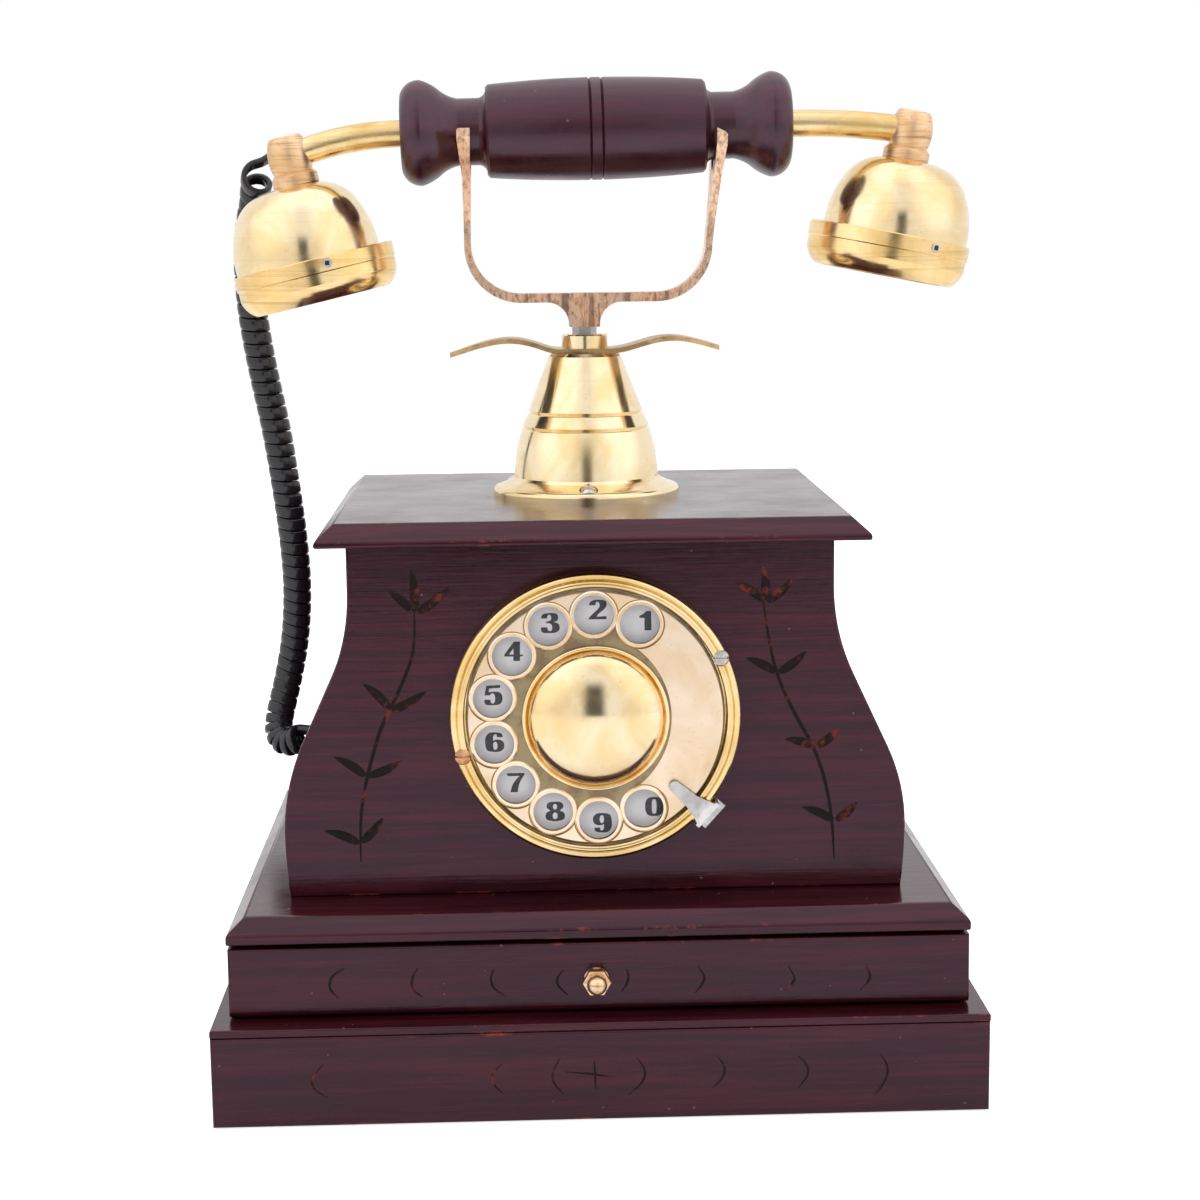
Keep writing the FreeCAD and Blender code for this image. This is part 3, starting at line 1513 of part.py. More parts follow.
def cord_route():
    """Control points of the curls' centre line, chosen by hand."""
    radius = curl_radius()
    start = vec(gland_face() - cord_wire - 1.7 * radius, gland_y - 2.0, gland_height - 0.96 * radius)
    return [start,
            start + vec(-3.0, 6.5, -2.4),
            start + vec(-5.7, 12.6, -3.2),
            start + vec(-7.6, 17.2, 0.4),
            start + vec(-7.4, 17.6, 7.4),
            start + vec(-6.0, 16.0, 14.0),
            vec(-101.2, 48.6, 103.5),
            vec(-98.1, 46.2, 117.5),
            vec(-96.5, 43.2, 134.8),
            vec(-97.0, 40.4, 151.9),
            vec(-98.7, 37.6, 170.0),
            vec(-101.1, 35.6, 190.0),
            vec(-104.6, 33.2, 209.0),
            vec(-107.2, 31.0, 228.0),
            vec(-107.8, 29.8, 244.0),
            vec(-107.0, 29.6, 253.5),
            vec(-105.7, 28.6, 261.0),
            vec(-104.3, 25.4, 266.4),
            vec(-102.9, 20.8, 269.8),
            vec(-101.6, 15.5, 272.8)]


def cord_axis():
    poles = cord_route()
    spans = len(poles) - 2
    curve = Part.BSplineCurve()
    knots = [float(k) for k in range(spans + 1)]
    curve.buildFromPolesMultsKnots(poles, [3] + [1] * (spans - 1) + [3], knots, False, 2)
    return curve


def curl_points():
    """Samples of the route: spot, two directions across it and the curls' angle there."""
    curve = cord_axis()
    total = curve.length()
    samples = 4000
    radius = curl_radius()
    room = cord_wire + cord_least_gap
    up = Z
    angle = 0.0
    frame = []
    for k in range(samples + 1):
        at = curve.parameterAtDistance(total * k / samples)
        along = curve.tangent(at)[0].normalize()
        up = (up - along * up.dot(along)).normalize()
        frame.append((curve.value(at), up, up.cross(along), angle))
        pitch = max(cord_curl_pitch, room / (1 - curve.curvature(at) * radius))
        angle += 2 * math.pi * (total / samples) / pitch
    return frame, angle


def helix_at(frame, wanted):
    low = 0
    high = len(frame) - 1
    while high - low > 1:
        middle = (low + high) // 2
        if frame[middle][3] <= wanted:
            low = middle
        else:
            high = middle
    share = (wanted - frame[low][3]) / (frame[high][3] - frame[low][3])
    spot = frame[low][0] + (frame[high][0] - frame[low][0]) * share
    up = (frame[low][1] + (frame[high][1] - frame[low][1]) * share).normalize()
    across = (frame[low][2] + (frame[high][2] - frame[low][2]) * share).normalize()
    return spot + (up * math.cos(wanted) + across * math.sin(wanted)) * curl_radius()


def helix_way(frame, wanted):
    nudge = 1e-3
    return (helix_at(frame, wanted + nudge) - helix_at(frame, wanted - nudge)).normalize()


def biarc(start, start_way, end, end_way):
    """Two arcs that leave start along start_way and reach end along end_way."""
    chord = end - start
    ways = start_way + end_way
    a = 2 * (1 - start_way.dot(end_way))
    b = 2 * chord.dot(ways)
    c = -chord.dot(chord)
    if abs(a) < 1e-9:
        reach = -c / b
    else:
        reach = (-b + math.sqrt(b * b - 4 * a * c)) / (2 * a)
    joint = (start + start_way * reach + end - end_way * reach) * 0.5
    return [arc_between(start, start_way, joint), arc_between(end, end_way * -1, joint)]


def arc_between(start, way, end):
    chord = end - start
    cross = way.cross(chord)
    if cross.Length < 1e-7 * chord.Length:
        return Part.LineSegment(start, end).toShape()
    side = cross.cross(way).normalize()
    radius = chord.dot(chord) / (2 * chord.dot(side))
    centre = start + side * radius
    middle = centre + ((start - centre) + (end - centre)).normalize() * radius
    return Part.Arc(start, middle, end).toShape()


def curly_cord():
    """The cord leaves the gland straight, bends into its first curl, and leaves its last curl
    for the elbow in the same way."""
    frame, total_angle = curl_points()
    gland_mouth = vec(gland_face(), gland_y, gland_height)
    lead = gland_mouth - X * cord_wire
    tail_end = cord_end_on_handset()
    tail_way = in_handset_way(Y)
    tail = tail_end + tail_way * cord_wire
    corner = tail + tail_way * curl_radius()

    def towards_corner(at):
        way = corner - helix_at(frame, at)
        return (way - tail_way * way.dot(tail_way)).normalize()

    candidates = [total_angle - math.radians(k) for k in range(1, 361)]
    last = max(candidates, key=lambda at: helix_way(frame, at).dot(towards_corner(at)))
    count = round(last / (math.pi / 2))
    turns = [last * k / count for k in range(count + 1)]
    way_in = towards_corner(last)

    stations = [(lead, X * -1)]
    stations += [(helix_at(frame, at), helix_way(frame, at)) for at in turns]
    stations += [(corner - way_in * curl_radius(), way_in), (tail, tail_way * -1)]
    edges = [Part.LineSegment(gland_mouth, lead).toShape()]
    for (start, start_way), (end, end_way) in zip(stations, stations[1:]):
        edges += biarc(start, start_way, end, end_way)
    edges.append(Part.LineSegment(tail, tail_end).toShape())
    path = Part.Wire(Part.__sortEdges__(edges))
    circle = Part.Wire(Part.makeCircle(cord_wire / 2, gland_mouth, X))
    cord = path.makePipeShell([circle], True, False)
    report_cord(path, cord, last / (2 * math.pi), edges)
    return cord


def report_cord(path, cord, turns, edges):
    """Prints the curls, the tube's length, its tightest bend and the least gap between its own turns."""
    spacing = 0.5
    spots = path.discretize(Distance=spacing)
    reach = int(2.2 * cord_wire / spacing)
    least = min(spots[i].distanceToPoint(spots[j])
                for i in range(0, len(spots), 2) for j in range(i + reach, min(len(spots), i + 160), 2))
    radii = [edge.Curve.Radius for edge in edges if hasattr(edge.Curve, "Radius")]
    tightest = min(radii)
    section = math.pi * cord_wire ** 2 / 4
    print("curly cord: %.1f curls, %.0f mm of tube, tightest bend %.1f mm, volume %.0f of %.0f mm3, "
          "least gap to itself %.2f mm" % (turns, path.Length, tightest, cord.Volume, section * path.Length,
                                           least - cord_wire))


def plunger_spring():
    """Compression spring round the plunger, between the top board and the plunger's shoulder."""
    pitch = (spring_length - spring_wire - 2 * 0.1) / spring_turns
    low = top_surface + 0.1 + spring_wire / 2
    points = []
    for k in range(4 * spring_turns + 1):
        turn = math.pi / 2 * k
        point = vec(spring_radius * math.cos(turn), spring_radius * math.sin(turn), low + pitch * k / 4)
        way = vec(-spring_radius * math.sin(turn), spring_radius * math.cos(turn), pitch / (2 * math.pi))
        points.append((point, way.normalize()))
    edges = []
    for (start, start_way), (end, end_way) in zip(points, points[1:]):
        edges += biarc(start, start_way, end, end_way)
    path = Part.Wire(Part.__sortEdges__(edges))
    circle = Part.Wire(Part.makeCircle(spring_wire / 2, points[0][0], points[0][1]))
    return path.makePipeShell([circle], True, False)


nodes = {
    "plinth_front_board": plinth_front_board,
    "plinth_rear_board": plinth_rear_board,
    "plinth_side_boards": plinth_side_boards,
    "plinth_deck": plinth_deck,
    "base_cover": base_cover,
    "base_screws": base_screws,
    "carcass_side_rails": carcass_side_rails,
    "carcass_rear_rail": carcass_rear_rail,
    "moulding_board": moulding_board,
    "drawer_front": drawer_front,
    "drawer_sides": drawer_sides,
    "drawer_back": drawer_back,
    "drawer_bottom": drawer_bottom,
    "drawer_knob": drawer_knob,
    "knob_screw": knob_screw,
    "front_panel": front_panel,
    "rear_panel": rear_panel,
    "left_side_panel": lambda: side_panel("left"),
    "right_side_panel": lambda: side_panel("right"),
    "case_cleats": case_cleats,
    "top_board": top_board,
    "pedestal_bell": pedestal_bell,
    "pedestal_screws": pedestal_screws,
    "wing_plate": wing_plate,
    "wing_nut": wing_nut,
    "plunger_rod": plunger_rod,
    "lock_nut": lock_nut,
    "plunger_spring": plunger_spring,
    "cradle_fork": cradle_fork,
    "handle": handle,
    "handset_tubes": handset_tubes,
    "handset_elbows": handset_elbows,
    "ear_bells": ear_bells,
    "ear_caps": ear_caps,
    "receiver_capsule": lambda: capsule("right", 2),
    "transmitter_capsule": lambda: capsule("left", 3),
    "grub_screws": grub_screws,
    "dial_bezel": dial_bezel,
    "bezel_screws": bezel_screws,
    "number_plate": number_plate,
    "finger_wheel": finger_wheel,
    "dial_dome": dial_dome,
    "finger_stop": finger_stop,
    "dial_frame": dial_frame,
    "dial_shaft": dial_shaft,
    "main_gear": main_gear,
    "governor_pinion": governor_pinion,
    "governor_weights": governor_weights,
    "dial_mainspring": dial_mainspring,
    "impulse_contacts": impulse_contacts,
    "switch_bracket": switch_bracket,
    "switch_contacts": switch_contacts,
    "ringer_frame": ringer_frame,
    "ringer_coils": ringer_coils,
    "ringer_gongs": ringer_gongs,
    "ringer_clapper": ringer_clapper,
    "circuit_board": circuit_board,
    "line_socket": line_socket,
    "cord_gland": cord_gland,
    "curly_cord": curly_cord,
}

for name, make in nodes.items():
    shape = make()
    if not shape.isValid() or not shape.Solids:
        print("fault in", name)
    shape.exportStep("parts/%s.step" % name)
print(len(nodes), "nodes written")
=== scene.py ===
import json
import math
from bisect import bisect

import bmesh
import bpy
from mathutils import Matrix, Vector
from mathutils.geometry import interpolate_bezier

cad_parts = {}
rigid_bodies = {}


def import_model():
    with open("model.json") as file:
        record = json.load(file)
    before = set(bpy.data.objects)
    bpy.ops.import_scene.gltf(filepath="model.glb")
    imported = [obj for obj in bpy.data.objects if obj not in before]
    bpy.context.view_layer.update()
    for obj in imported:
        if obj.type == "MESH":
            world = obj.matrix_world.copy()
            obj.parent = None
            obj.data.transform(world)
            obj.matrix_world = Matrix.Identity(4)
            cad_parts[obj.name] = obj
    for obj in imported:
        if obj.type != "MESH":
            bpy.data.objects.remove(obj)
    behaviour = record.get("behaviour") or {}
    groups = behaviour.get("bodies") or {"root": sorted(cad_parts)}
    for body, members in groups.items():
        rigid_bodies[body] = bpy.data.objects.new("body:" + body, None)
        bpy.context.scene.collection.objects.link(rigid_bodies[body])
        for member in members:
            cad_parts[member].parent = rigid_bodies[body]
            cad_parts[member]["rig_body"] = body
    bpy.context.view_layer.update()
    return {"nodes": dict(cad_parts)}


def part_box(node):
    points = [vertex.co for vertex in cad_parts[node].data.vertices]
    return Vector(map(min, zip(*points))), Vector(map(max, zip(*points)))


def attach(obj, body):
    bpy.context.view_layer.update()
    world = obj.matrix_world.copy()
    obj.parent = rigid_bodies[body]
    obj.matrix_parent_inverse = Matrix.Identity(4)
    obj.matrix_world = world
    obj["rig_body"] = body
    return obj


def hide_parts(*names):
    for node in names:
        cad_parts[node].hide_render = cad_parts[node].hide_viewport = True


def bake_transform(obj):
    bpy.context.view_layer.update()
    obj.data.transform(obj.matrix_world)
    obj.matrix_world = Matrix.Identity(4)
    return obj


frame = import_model()
nodes = frame["nodes"]
mm = 0.001  # sizes of pieces are in millimetres, the scene is in metres


def addObject(name, data):
    item = bpy.data.objects.new(name, data)
    bpy.context.scene.collection.objects.link(item)
    return item


def turned(degrees, axis):
    return Matrix.Rotation(math.radians(degrees), 4, axis)


def between(low, high, share):
    return low + (high - low) * share


def ramp(value, low, high):
    return min(1.0, max(0.0, (value - low) / (high - low)))


# Camera, where the photograph was taken from

cameraValues = {
    "place": (-0.019306, -0.720975, 0.253181),
    "lens": 68.56,  # on a sensor 36 mm wide
    "turn": 1.843,  # degrees to the right
    "down": 9.202,
    "roll": -0.677,
}


def makeCamera(values):
    view = bpy.data.cameras.new("camera")
    view.lens = values["lens"]
    view.sensor_width = 36
    view.clip_start = 0.01
    camera = addObject("camera", view)
    camera.matrix_world = (Matrix.Translation(values["place"]) @ turned(-values["turn"], "Z")
                           @ turned(90 - values["down"], "X") @ turned(values["roll"], "Z"))
    bpy.context.scene.camera = camera


makeCamera(cameraValues)
print("camera placed")


# Shader nodes

def setSocket(socket, value):
    if isinstance(value, bpy.types.NodeSocket):
        socket.id_data.links.new(value, socket)
    else:
        socket.default_value = value


def addNode(near, kind, sockets=None, **settings):  # in the tree that a socket is in, or in the tree itself
    node = near.id_data.nodes.new(kind)
    for name, value in settings.items():
        setattr(node, name, value)
    for name, value in (sockets or {}).items():
        setSocket(node.inputs[name], value)
    return node


def newGroup(name, takes, gives):
    tree = bpy.data.node_groups.new(name, "ShaderNodeTree")
    for label, kind in {"Vector": "Vector", **takes}.items():
        tree.interface.new_socket(label, in_out="INPUT", socket_type="NodeSocket" + kind)
    for label in gives:
        kind = "Color" if label == "Color" else "Float"
        tree.interface.new_socket(label, in_out="OUTPUT", socket_type="NodeSocket" + kind)
    source = tree.nodes.new("NodeGroupInput")
    sink = tree.nodes.new("NodeGroupOutput")
    return tree, source.outputs, sink.inputs


def useGroup(group, sockets):
    return addNode(sockets["Vector"], "ShaderNodeGroup", sockets, node_tree=group).outputs


def noise(vector, scale, detail=2.0, roughness=0.5, distortion=0.0):
    return addNode(vector, "ShaderNodeTexNoise", {
        "Vector": vector, "Scale": scale, "Detail": detail, "Roughness": roughness,
        "Distortion": distortion}).outputs["Fac"]


def spread(value, low, high, to=(0.0, 1.0), soft=False):
    return addNode(value, "ShaderNodeMapRange", {
        "Value": value, "From Min": low, "From Max": high, "To Min": to[0], "To Max": to[1]},
        interpolation_type="SMOOTHSTEP" if soft else "LINEAR").outputs["Result"]


def reckon(operation, first, second=0.0):
    near = first if isinstance(first, bpy.types.NodeSocket) else second
    return addNode(near, "ShaderNodeMath", {0: first, 1: second}, operation=operation).outputs["Value"]


def times(first, second):
    return reckon("MULTIPLY", first, second)


def plus(first, second):
    return reckon("ADD", first, second)


def blendColours(share, first, second):
    return addNode(share, "ShaderNodeMix", {0: share, 6: first, 7: second}, data_type="RGBA").outputs[2]


def scatter(vector, scale, channel):  # distance from each spot's middle and a random tone for the spot
    cells = addNode(vector, "ShaderNodeTexVoronoi", {"Vector": vector, "Scale": scale}).outputs
    tone = addNode(vector, "ShaderNodeSeparateColor", {"Color": cells["Color"]}).outputs[channel]
    return cells["Distance"], tone


grainValues = {  # each noise as scale, detail, roughness and distortion
    "broad": (1.0, 5.0, 0.62, 0.35),
    "fine": (3.7, 3.0, 0.6, 0.1),
    "cloud": (0.22, 2.0, 0.5, 0.6),
    "streaks": (0.36, 0.68),
    "veins": (0.55, 0.74),
    "darkening": (0.35, 0.7, (0.0, 0.45)),
    "relief": (0.6, 0.4),  # of the broad and the fine grain
}
wearValues = {"patches": (70.0, 6.0, 0.7), "level": 0.8, "fade": 0.12}
speckSize = (0.10, 0.18)
handlingValues = {
    "cloud": (4.0, 0.6, 0.8),
    "cloudCover": (0.35, 0.68),
    "finer": 9.0,  # scratches and pits against the clouds
    "scratch": (3.0, 0.8, 2.5),
    "pitSize": (0.05, 0.22),
    "pitShare": 0.18,
}


def makeGrain(values):
    tree, takes, gives = newGroup(
        "wood grain", {"Dark": "Color", "Middle": "Color", "Light": "Color", "Vein": "Float"},
        ["Color", "Height", "Streak"])
    broad, fine, cloud = (noise(takes["Vector"], *values[name]) for name in ("broad", "fine", "cloud"))
    streak = spread(broad, *values["streaks"], soft=True)
    vein = times(spread(fine, *values["veins"], soft=True), takes["Vein"])
    body = blendColours(streak, takes["Dark"], takes["Middle"])
    body = blendColours(spread(cloud, *values["darkening"]), body, takes["Dark"])
    broadShare, fineShare = values["relief"]
    setSocket(gives["Color"], blendColours(vein, body, takes["Light"]))
    setSocket(gives["Height"], plus(times(broad, broadShare), times(fine, fineShare)))
    setSocket(gives["Streak"], streak)
    return tree


def makeWear(values):
    tree, takes, gives = newGroup("worn edge", {"Edge": "Float", "Amount": "Float"}, ["Mask"])
    patches = noise(takes["Vector"], *values["patches"])
    level = times(reckon("SUBTRACT", 1.0, takes["Amount"]), values["level"])
    above = spread(reckon("SUBTRACT", patches, level), 0.0, values["fade"], soft=True)
    setSocket(gives["Mask"], times(above, takes["Edge"]))
    return tree


def makeDust():
    tree, takes, gives = newGroup("dust", {"Scale": "Float", "Amount": "Float"}, ["Mask"])
    distance, tone = scatter(takes["Vector"], takes["Scale"], "Red")
    speck = spread(distance, *speckSize, (1.0, 0.0))
    setSocket(gives["Mask"], times(speck, reckon("LESS_THAN", tone, takes["Amount"])))
    return tree


def makeHandling(values):
    tree, takes, gives = newGroup("handling marks", {"Scale": "Float"}, ["Cloud", "Scratch", "Pit"])
    cloud = noise(takes["Vector"], takes["Scale"], *values["cloud"])
    fineScale = times(takes["Scale"], values["finer"])
    distance, tone = scatter(takes["Vector"], fineScale, "Green")
    pit = spread(distance, *values["pitSize"], (1.0, 0.0))
    setSocket(gives["Cloud"], spread(cloud, *values["cloudCover"], soft=True))
    setSocket(gives["Scratch"], noise(takes["Vector"], fineScale, *values["scratch"]))
    setSocket(gives["Pit"], times(pit, reckon("LESS_THAN", tone, values["pitShare"])))
    return tree


grainGroup = makeGrain(grainValues)
wearGroup = makeWear(wearValues)
dustGroup = makeDust()
handlingGroup = makeHandling(handlingValues)


def newMaterial(name):
    material = bpy.data.materials.new(name)
    material.use_nodes = True
    tree = material.node_tree
    place = addNode(tree, "ShaderNodeTexCoord").outputs["Object"]
    return material, tree.nodes["Principled BSDF"].inputs, place


def finish(shader, colour, rough, height=None, bump=0.0, distance=0.1, metallic=0.0):
    for name, value in (("Base Color", colour), ("Roughness", rough), ("Metallic", metallic)):
        setSocket(shader[name], value)
    if height is not None:
        relief = {"Height": height, "Strength": bump, "Distance": distance * mm}
        setSocket(shader["Normal"], addNode(height, "ShaderNodeBump", relief).outputs["Normal"])


def scaled(place, scale, shift=(0, 0, 0)):
    return addNode(place, "ShaderNodeMapping", {
        "Vector": place, "Scale": scale, "Location": shift}).outputs["Vector"]


def along(place, axis):
    return addNode(place, "ShaderNodeSeparateXYZ", {"Vector": place}).outputs[axis]


def dusted(place, colour, scale, amount, share, tone):
    dust = useGroup(dustGroup, {"Vector": place, "Scale": scale, "Amount": amount})["Mask"]
    return dust, blendColours(times(dust, share), colour, tone)


# Wood finishes

woodValues = {
    "dark": (0.015, 0.0020, 0.0036, 1),
    "middle": (0.042, 0.0046, 0.0082, 1),
    "light": (0.072, 0.010, 0.0145, 1),
    "worn": (0.15, 0.026, 0.015, 1),
    "across": 330,  # grain lines in a metre
    "along": 14,
    "vein": 0.3,
    "wear": 0.3,
    "specks": (420.0, 0.035, 0.5, (0.16, 0.10, 0.095, 1)),  # scale, share of the places, strength, tone
    "rough": (0.13, 0.24),
    "sheen": (45.0, 3.0, 0.6),  # noise that the roughness follows
    "tint": (1.0, 0.74, 0.94, 1),
    "shine": 0.45,
    "ripple": 240.0,  # waves of the varnish in a metre
    "relief": (0.35, 0.2),  # strength and depth
}
carvedValues = {
    # near-black colour of the cuts: painted shade inside the carved grooves
    "groove": (0.006, 0.0016, 0.0016, 1),
    "worn": (0.15, 0.021, 0.012, 1),
    "patches": (120.0, 5.0, 0.7),
    "cover": (0.54, 0.66),
    "rough": (0.55, 0.65),
    "shine": 0.2,
    "cuts": (900.0, 3.0, 0.6),
    "relief": (0.5, 0.2),
}
plainValues = {
    "dark": (0.23, 0.115, 0.05, 1),
    "middle": (0.40, 0.23, 0.11, 1),
    "light": (0.52, 0.33, 0.18, 1),
    "vein": 0.4,
    "specks": (380.0, 0.05, 1.0, (0.5, 0.42, 0.33, 1)),
    "rough": (0.6, 0.75),
    "relief": (0.6, 0.3),
    "scale": (14, 300, 300),
}


def woodGrain(vector, values):
    return useGroup(grainGroup, {
        "Vector": vector, "Dark": values["dark"], "Middle": values["middle"], "Light": values["light"],
        "Vein": values["vein"]})


def makeDarkWood(name, grain, shift=(0, 0, 0), rough=woodValues["rough"], shine=woodValues["shine"]):
    material, shader, place = newMaterial(name)
    values = woodValues
    scale = [values["along"] if axis == grain else values["across"] for axis in "xyz"]
    wood = woodGrain(scaled(place, scale, shift), values)
    edge = addNode(place, "ShaderNodeAttribute", attribute_name="edge").outputs["Fac"]
    worn = useGroup(wearGroup, {"Vector": place, "Edge": edge, "Amount": values["wear"]})["Mask"]
    colour = blendColours(worn, wood["Color"], values["worn"])
    dust, colour = dusted(place, colour, *values["specks"])
    sheen = spread(noise(place, *values["sheen"]), 0.3, 0.7, rough)
    shader["Specular Tint"].default_value = values["tint"]
    shader["Specular IOR Level"].default_value = shine
    height = plus(wood["Height"], times(noise(place, values["ripple"]), 0.6))
    height = plus(height, times(dust, 0.5))
    finish(shader, colour, plus(sheen, times(dust, 0.25)), height, *values["relief"])
    return material


def makeCarvedWood(values):
    material, shader, place = newMaterial("carved wood with painted shade")
    patches = spread(noise(place, *values["patches"]), *values["cover"], soft=True)
    # the cuts are coloured near-black as painted shade, with reddish patches at random
    colour = blendColours(patches, values["groove"], values["worn"])
    shader["Specular IOR Level"].default_value = values["shine"]
    rough = spread(patches, 0, 1, values["rough"])
    finish(shader, colour, rough, noise(place, *values["cuts"]), *values["relief"])
    return material


def makePlainWood(values):
    material, shader, place = newMaterial("plain wood")
    wood = woodGrain(scaled(place, values["scale"]), values)
    dust, colour = dusted(place, wood["Color"], *values["specks"])
    finish(shader, colour, spread(wood["Streak"], 0, 1, values["rough"]), wood["Height"], *values["relief"])
    return material


boardWood = makeDarkWood("board wood", "x")
sideWood = makeDarkWood("side wood", "y", shift=(3, 1, 7))
handleWood = makeDarkWood("handle wood", "x", shift=(11, 5, 2), rough=(0.22, 0.40), shine=0.75)
carvedWood = makeCarvedWood(carvedValues)
plainWood = makePlainWood(plainValues)


# Metal finishes

brassTones = {  # pale, deep and tarnished
    "spun": ((0.94, 0.78, 0.53, 1), (0.86, 0.64, 0.33, 1), (0.40, 0.24, 0.09, 1)),
    "cap": ((0.95, 0.72, 0.38, 1), (0.86, 0.57, 0.22, 1), (0.34, 0.19, 0.06, 1)),
    "dial": ((0.96, 0.78, 0.60, 1), (0.87, 0.65, 0.43, 1), (0.30, 0.20, 0.09, 1)),
    "rim": ((0.90, 0.69, 0.38, 1), (0.78, 0.54, 0.22, 1), (0.30, 0.20, 0.08, 1)),
    "turned": ((0.88, 0.63, 0.40, 1), (0.76, 0.48, 0.25, 1), (0.30, 0.14, 0.06, 1)),
    "sand": ((1.0, 0.70, 0.50, 1), (0.84, 0.50, 0.32, 1), (0.20, 0.095, 0.05, 1)),
    "plate": ((0.60, 0.41, 0.21, 1), (0.42, 0.26, 0.11, 1), (0.12, 0.07, 0.03, 1)),
}
brassFinishes = {  # tones, lines in a metre, roughness, bump, tarnish, pits, where tarnish starts and fills
    "bell": ("spun", (6, 6, 900), (0.12, 0.24), 0.14, 0.35, 0.25, (0.55, 0.8)),
    "cap": ("cap", (6, 6, 900), (0.14, 0.26), 0.16, 0.55, 0.25, (0.5, 0.75)),
    "dome": ("spun", (60, 60, 60), (0.10, 0.18), 0.10, 0.25, 0.3, (0.55, 0.8)),
    "face": ("dial", (60, 60, 60), (0.28, 0.40), 0.08, 0.25, 0.15, (0.55, 0.8)),
    "rim": ("rim", (60, 60, 60), (0.10, 0.20), 0.08, 0.25, 0.0, (0.55, 0.8)),
    "tube": ("rim", (14, 500, 500), (0.2, 0.34), 0.3, 0.5, 0.2, (0.48, 0.75)),
    "turned": ("turned", (40, 40, 1500), (0.30, 0.44), 0.8, 0.8, 0.4, (0.47, 0.72)),
    "cast": ("sand", (800, 300, 500), (0.26, 0.42), 0.8, 0.75, 0.3, (0.43, 0.72)),
    "plate": ("plate", (90, 400, 400), (0.28, 0.4), 0.4, 0.7, 0.5, (0.48, 0.7)),
    "gear": ("rim", (300, 300, 300), (0.22, 0.34), 0.2, 0.3, 0.0, (0.55, 0.8)),
}

markScales = {"brass": 55.0, "wheel": 90.0, "steel": 120.0, "screws": 300.0}  # in a metre


def metalMarks(place, kind):
    return useGroup(handlingGroup, {"Vector": place, "Scale": markScales[kind]})


def finishMetal(shader, colour, rough, cloud, height, bump):
    finish(shader, colour, spread(cloud, 0, 1, rough), height, bump, metallic=1.0)


def makeBrass(name, tones, lines, rough, bump, tarnished, pits, cover):
    material, shader, place = newMaterial(name + " brass")
    pale, deep, tarnish = brassTones[tones]
    marks = metalMarks(place, "brass")
    toolMarks = noise(scaled(place, lines), 1.0, 4.0, 0.7)
    stain = spread(toolMarks, *cover, (0.0, tarnished), soft=True)
    colour = blendColours(stain, blendColours(marks["Cloud"], pale, deep), tarnish)
    pit = times(marks["Pit"], pits)
    height = plus(times(toolMarks, 0.7), times(marks["Scratch"], 0.3))
    finishMetal(shader, blendColours(pit, colour, tarnish), rough, marks["Cloud"],
                reckon("SUBTRACT", height, pit), bump)
    return material


brass = {name: makeBrass(name, *values) for name, values in brassFinishes.items()}

fluteValues = {  # dark fluting in the fork's foot
    "height": 11.5,
    "fade": 1.0,
    "grooves": (520, 520, 40),  # in a metre
    "cover": (0.47, 0.58),
    "dark": (0.16, 0.08, 0.045, 1),
    "share": 0.65,
}


def fluteFoot(material, values):
    shader = material.node_tree.nodes["Principled BSDF"].inputs
    place = addNode(material.node_tree, "ShaderNodeTexCoord").outputs["Object"]
    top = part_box("cradle_fork")[0].z + values["height"] * mm
    below = spread(along(place, "Z"), top - values["fade"] * mm, top, (1.0, 0.0))
    grooves = noise(scaled(place, values["grooves"]), 1.0, 3.0, 0.6)
    mask = times(spread(grooves, *values["cover"], soft=True), below)
    colour = shader["Base Color"].links[0].from_socket
    fluted = blendColours(times(mask, values["share"]), colour, values["dark"])
    setSocket(shader["Base Color"], fluted)


fluteFoot(brass["cast"], fluteValues)

wheelValues = {  # the finger wheel's sunk ground is stained
    "sunk": (0.2, 0.45),  # depth where the stain starts and fills
    "blotches": (160.0, 5.0, 0.7),
    "cover": (0.42, 0.62),
    "stains": ((0.25, 0.20, 0.095, 1), (0.13, 0.075, 0.035, 1)),
    "share": 0.85,
    "rough": (0.18, 0.36),  # on the rims and in the ground
}


def makeWheelBrass(values):
    material, shader, place = newMaterial("wheel brass")
    start, full = (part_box("finger_wheel")[0].y + depth * mm for depth in values["sunk"])
    sunk = spread(along(place, "Y"), start, full)
    blotch = spread(noise(place, *values["blotches"]), *values["cover"], soft=True)
    marks = metalMarks(place, "wheel")
    metal = blendColours(marks["Cloud"], *brassTones["dial"][:2])
    stain = blendColours(blotch, *values["stains"])
    colour = blendColours(times(sunk, values["share"]), metal, stain)
    finishMetal(shader, colour, values["rough"], sunk, marks["Scratch"], 0.15)
    return material


def makeSteel(name, tone, rough):
    material, shader, place = newMaterial(name)
    marks = metalMarks(place, "steel")
    darker = tuple(channel * 0.6 for channel in tone[:3]) + (1,)
    colour = blendColours(marks["Cloud"], tone, darker)
    finishMetal(shader, colour, rough, marks["Cloud"], marks["Scratch"], 0.25)
    return material


screwValues = {
    "silver": ((0.70, 0.66, 0.62, 1), (0.36, 0.33, 0.30, 1)),  # the right screw
    "copper": ((0.78, 0.42, 0.22, 1), (0.36, 0.16, 0.07, 1)),  # the left screw
    "rough": (0.2, 0.4),
    "change": 10,  # from the dial's middle
}


def makeScrewMetal(values):
    material, shader, place = newMaterial("screw metal")
    marks = metalMarks(place, "screws")
    silver, copper = (blendColours(marks["Cloud"], *values[tone]) for tone in ("silver", "copper"))
    change = values["change"] * mm
    right = spread(along(place, "X"), -change, change)
    colour = blendColours(right, copper, silver)
    finishMetal(shader, colour, values["rough"], marks["Cloud"], marks["Scratch"], 0.3)
    return material


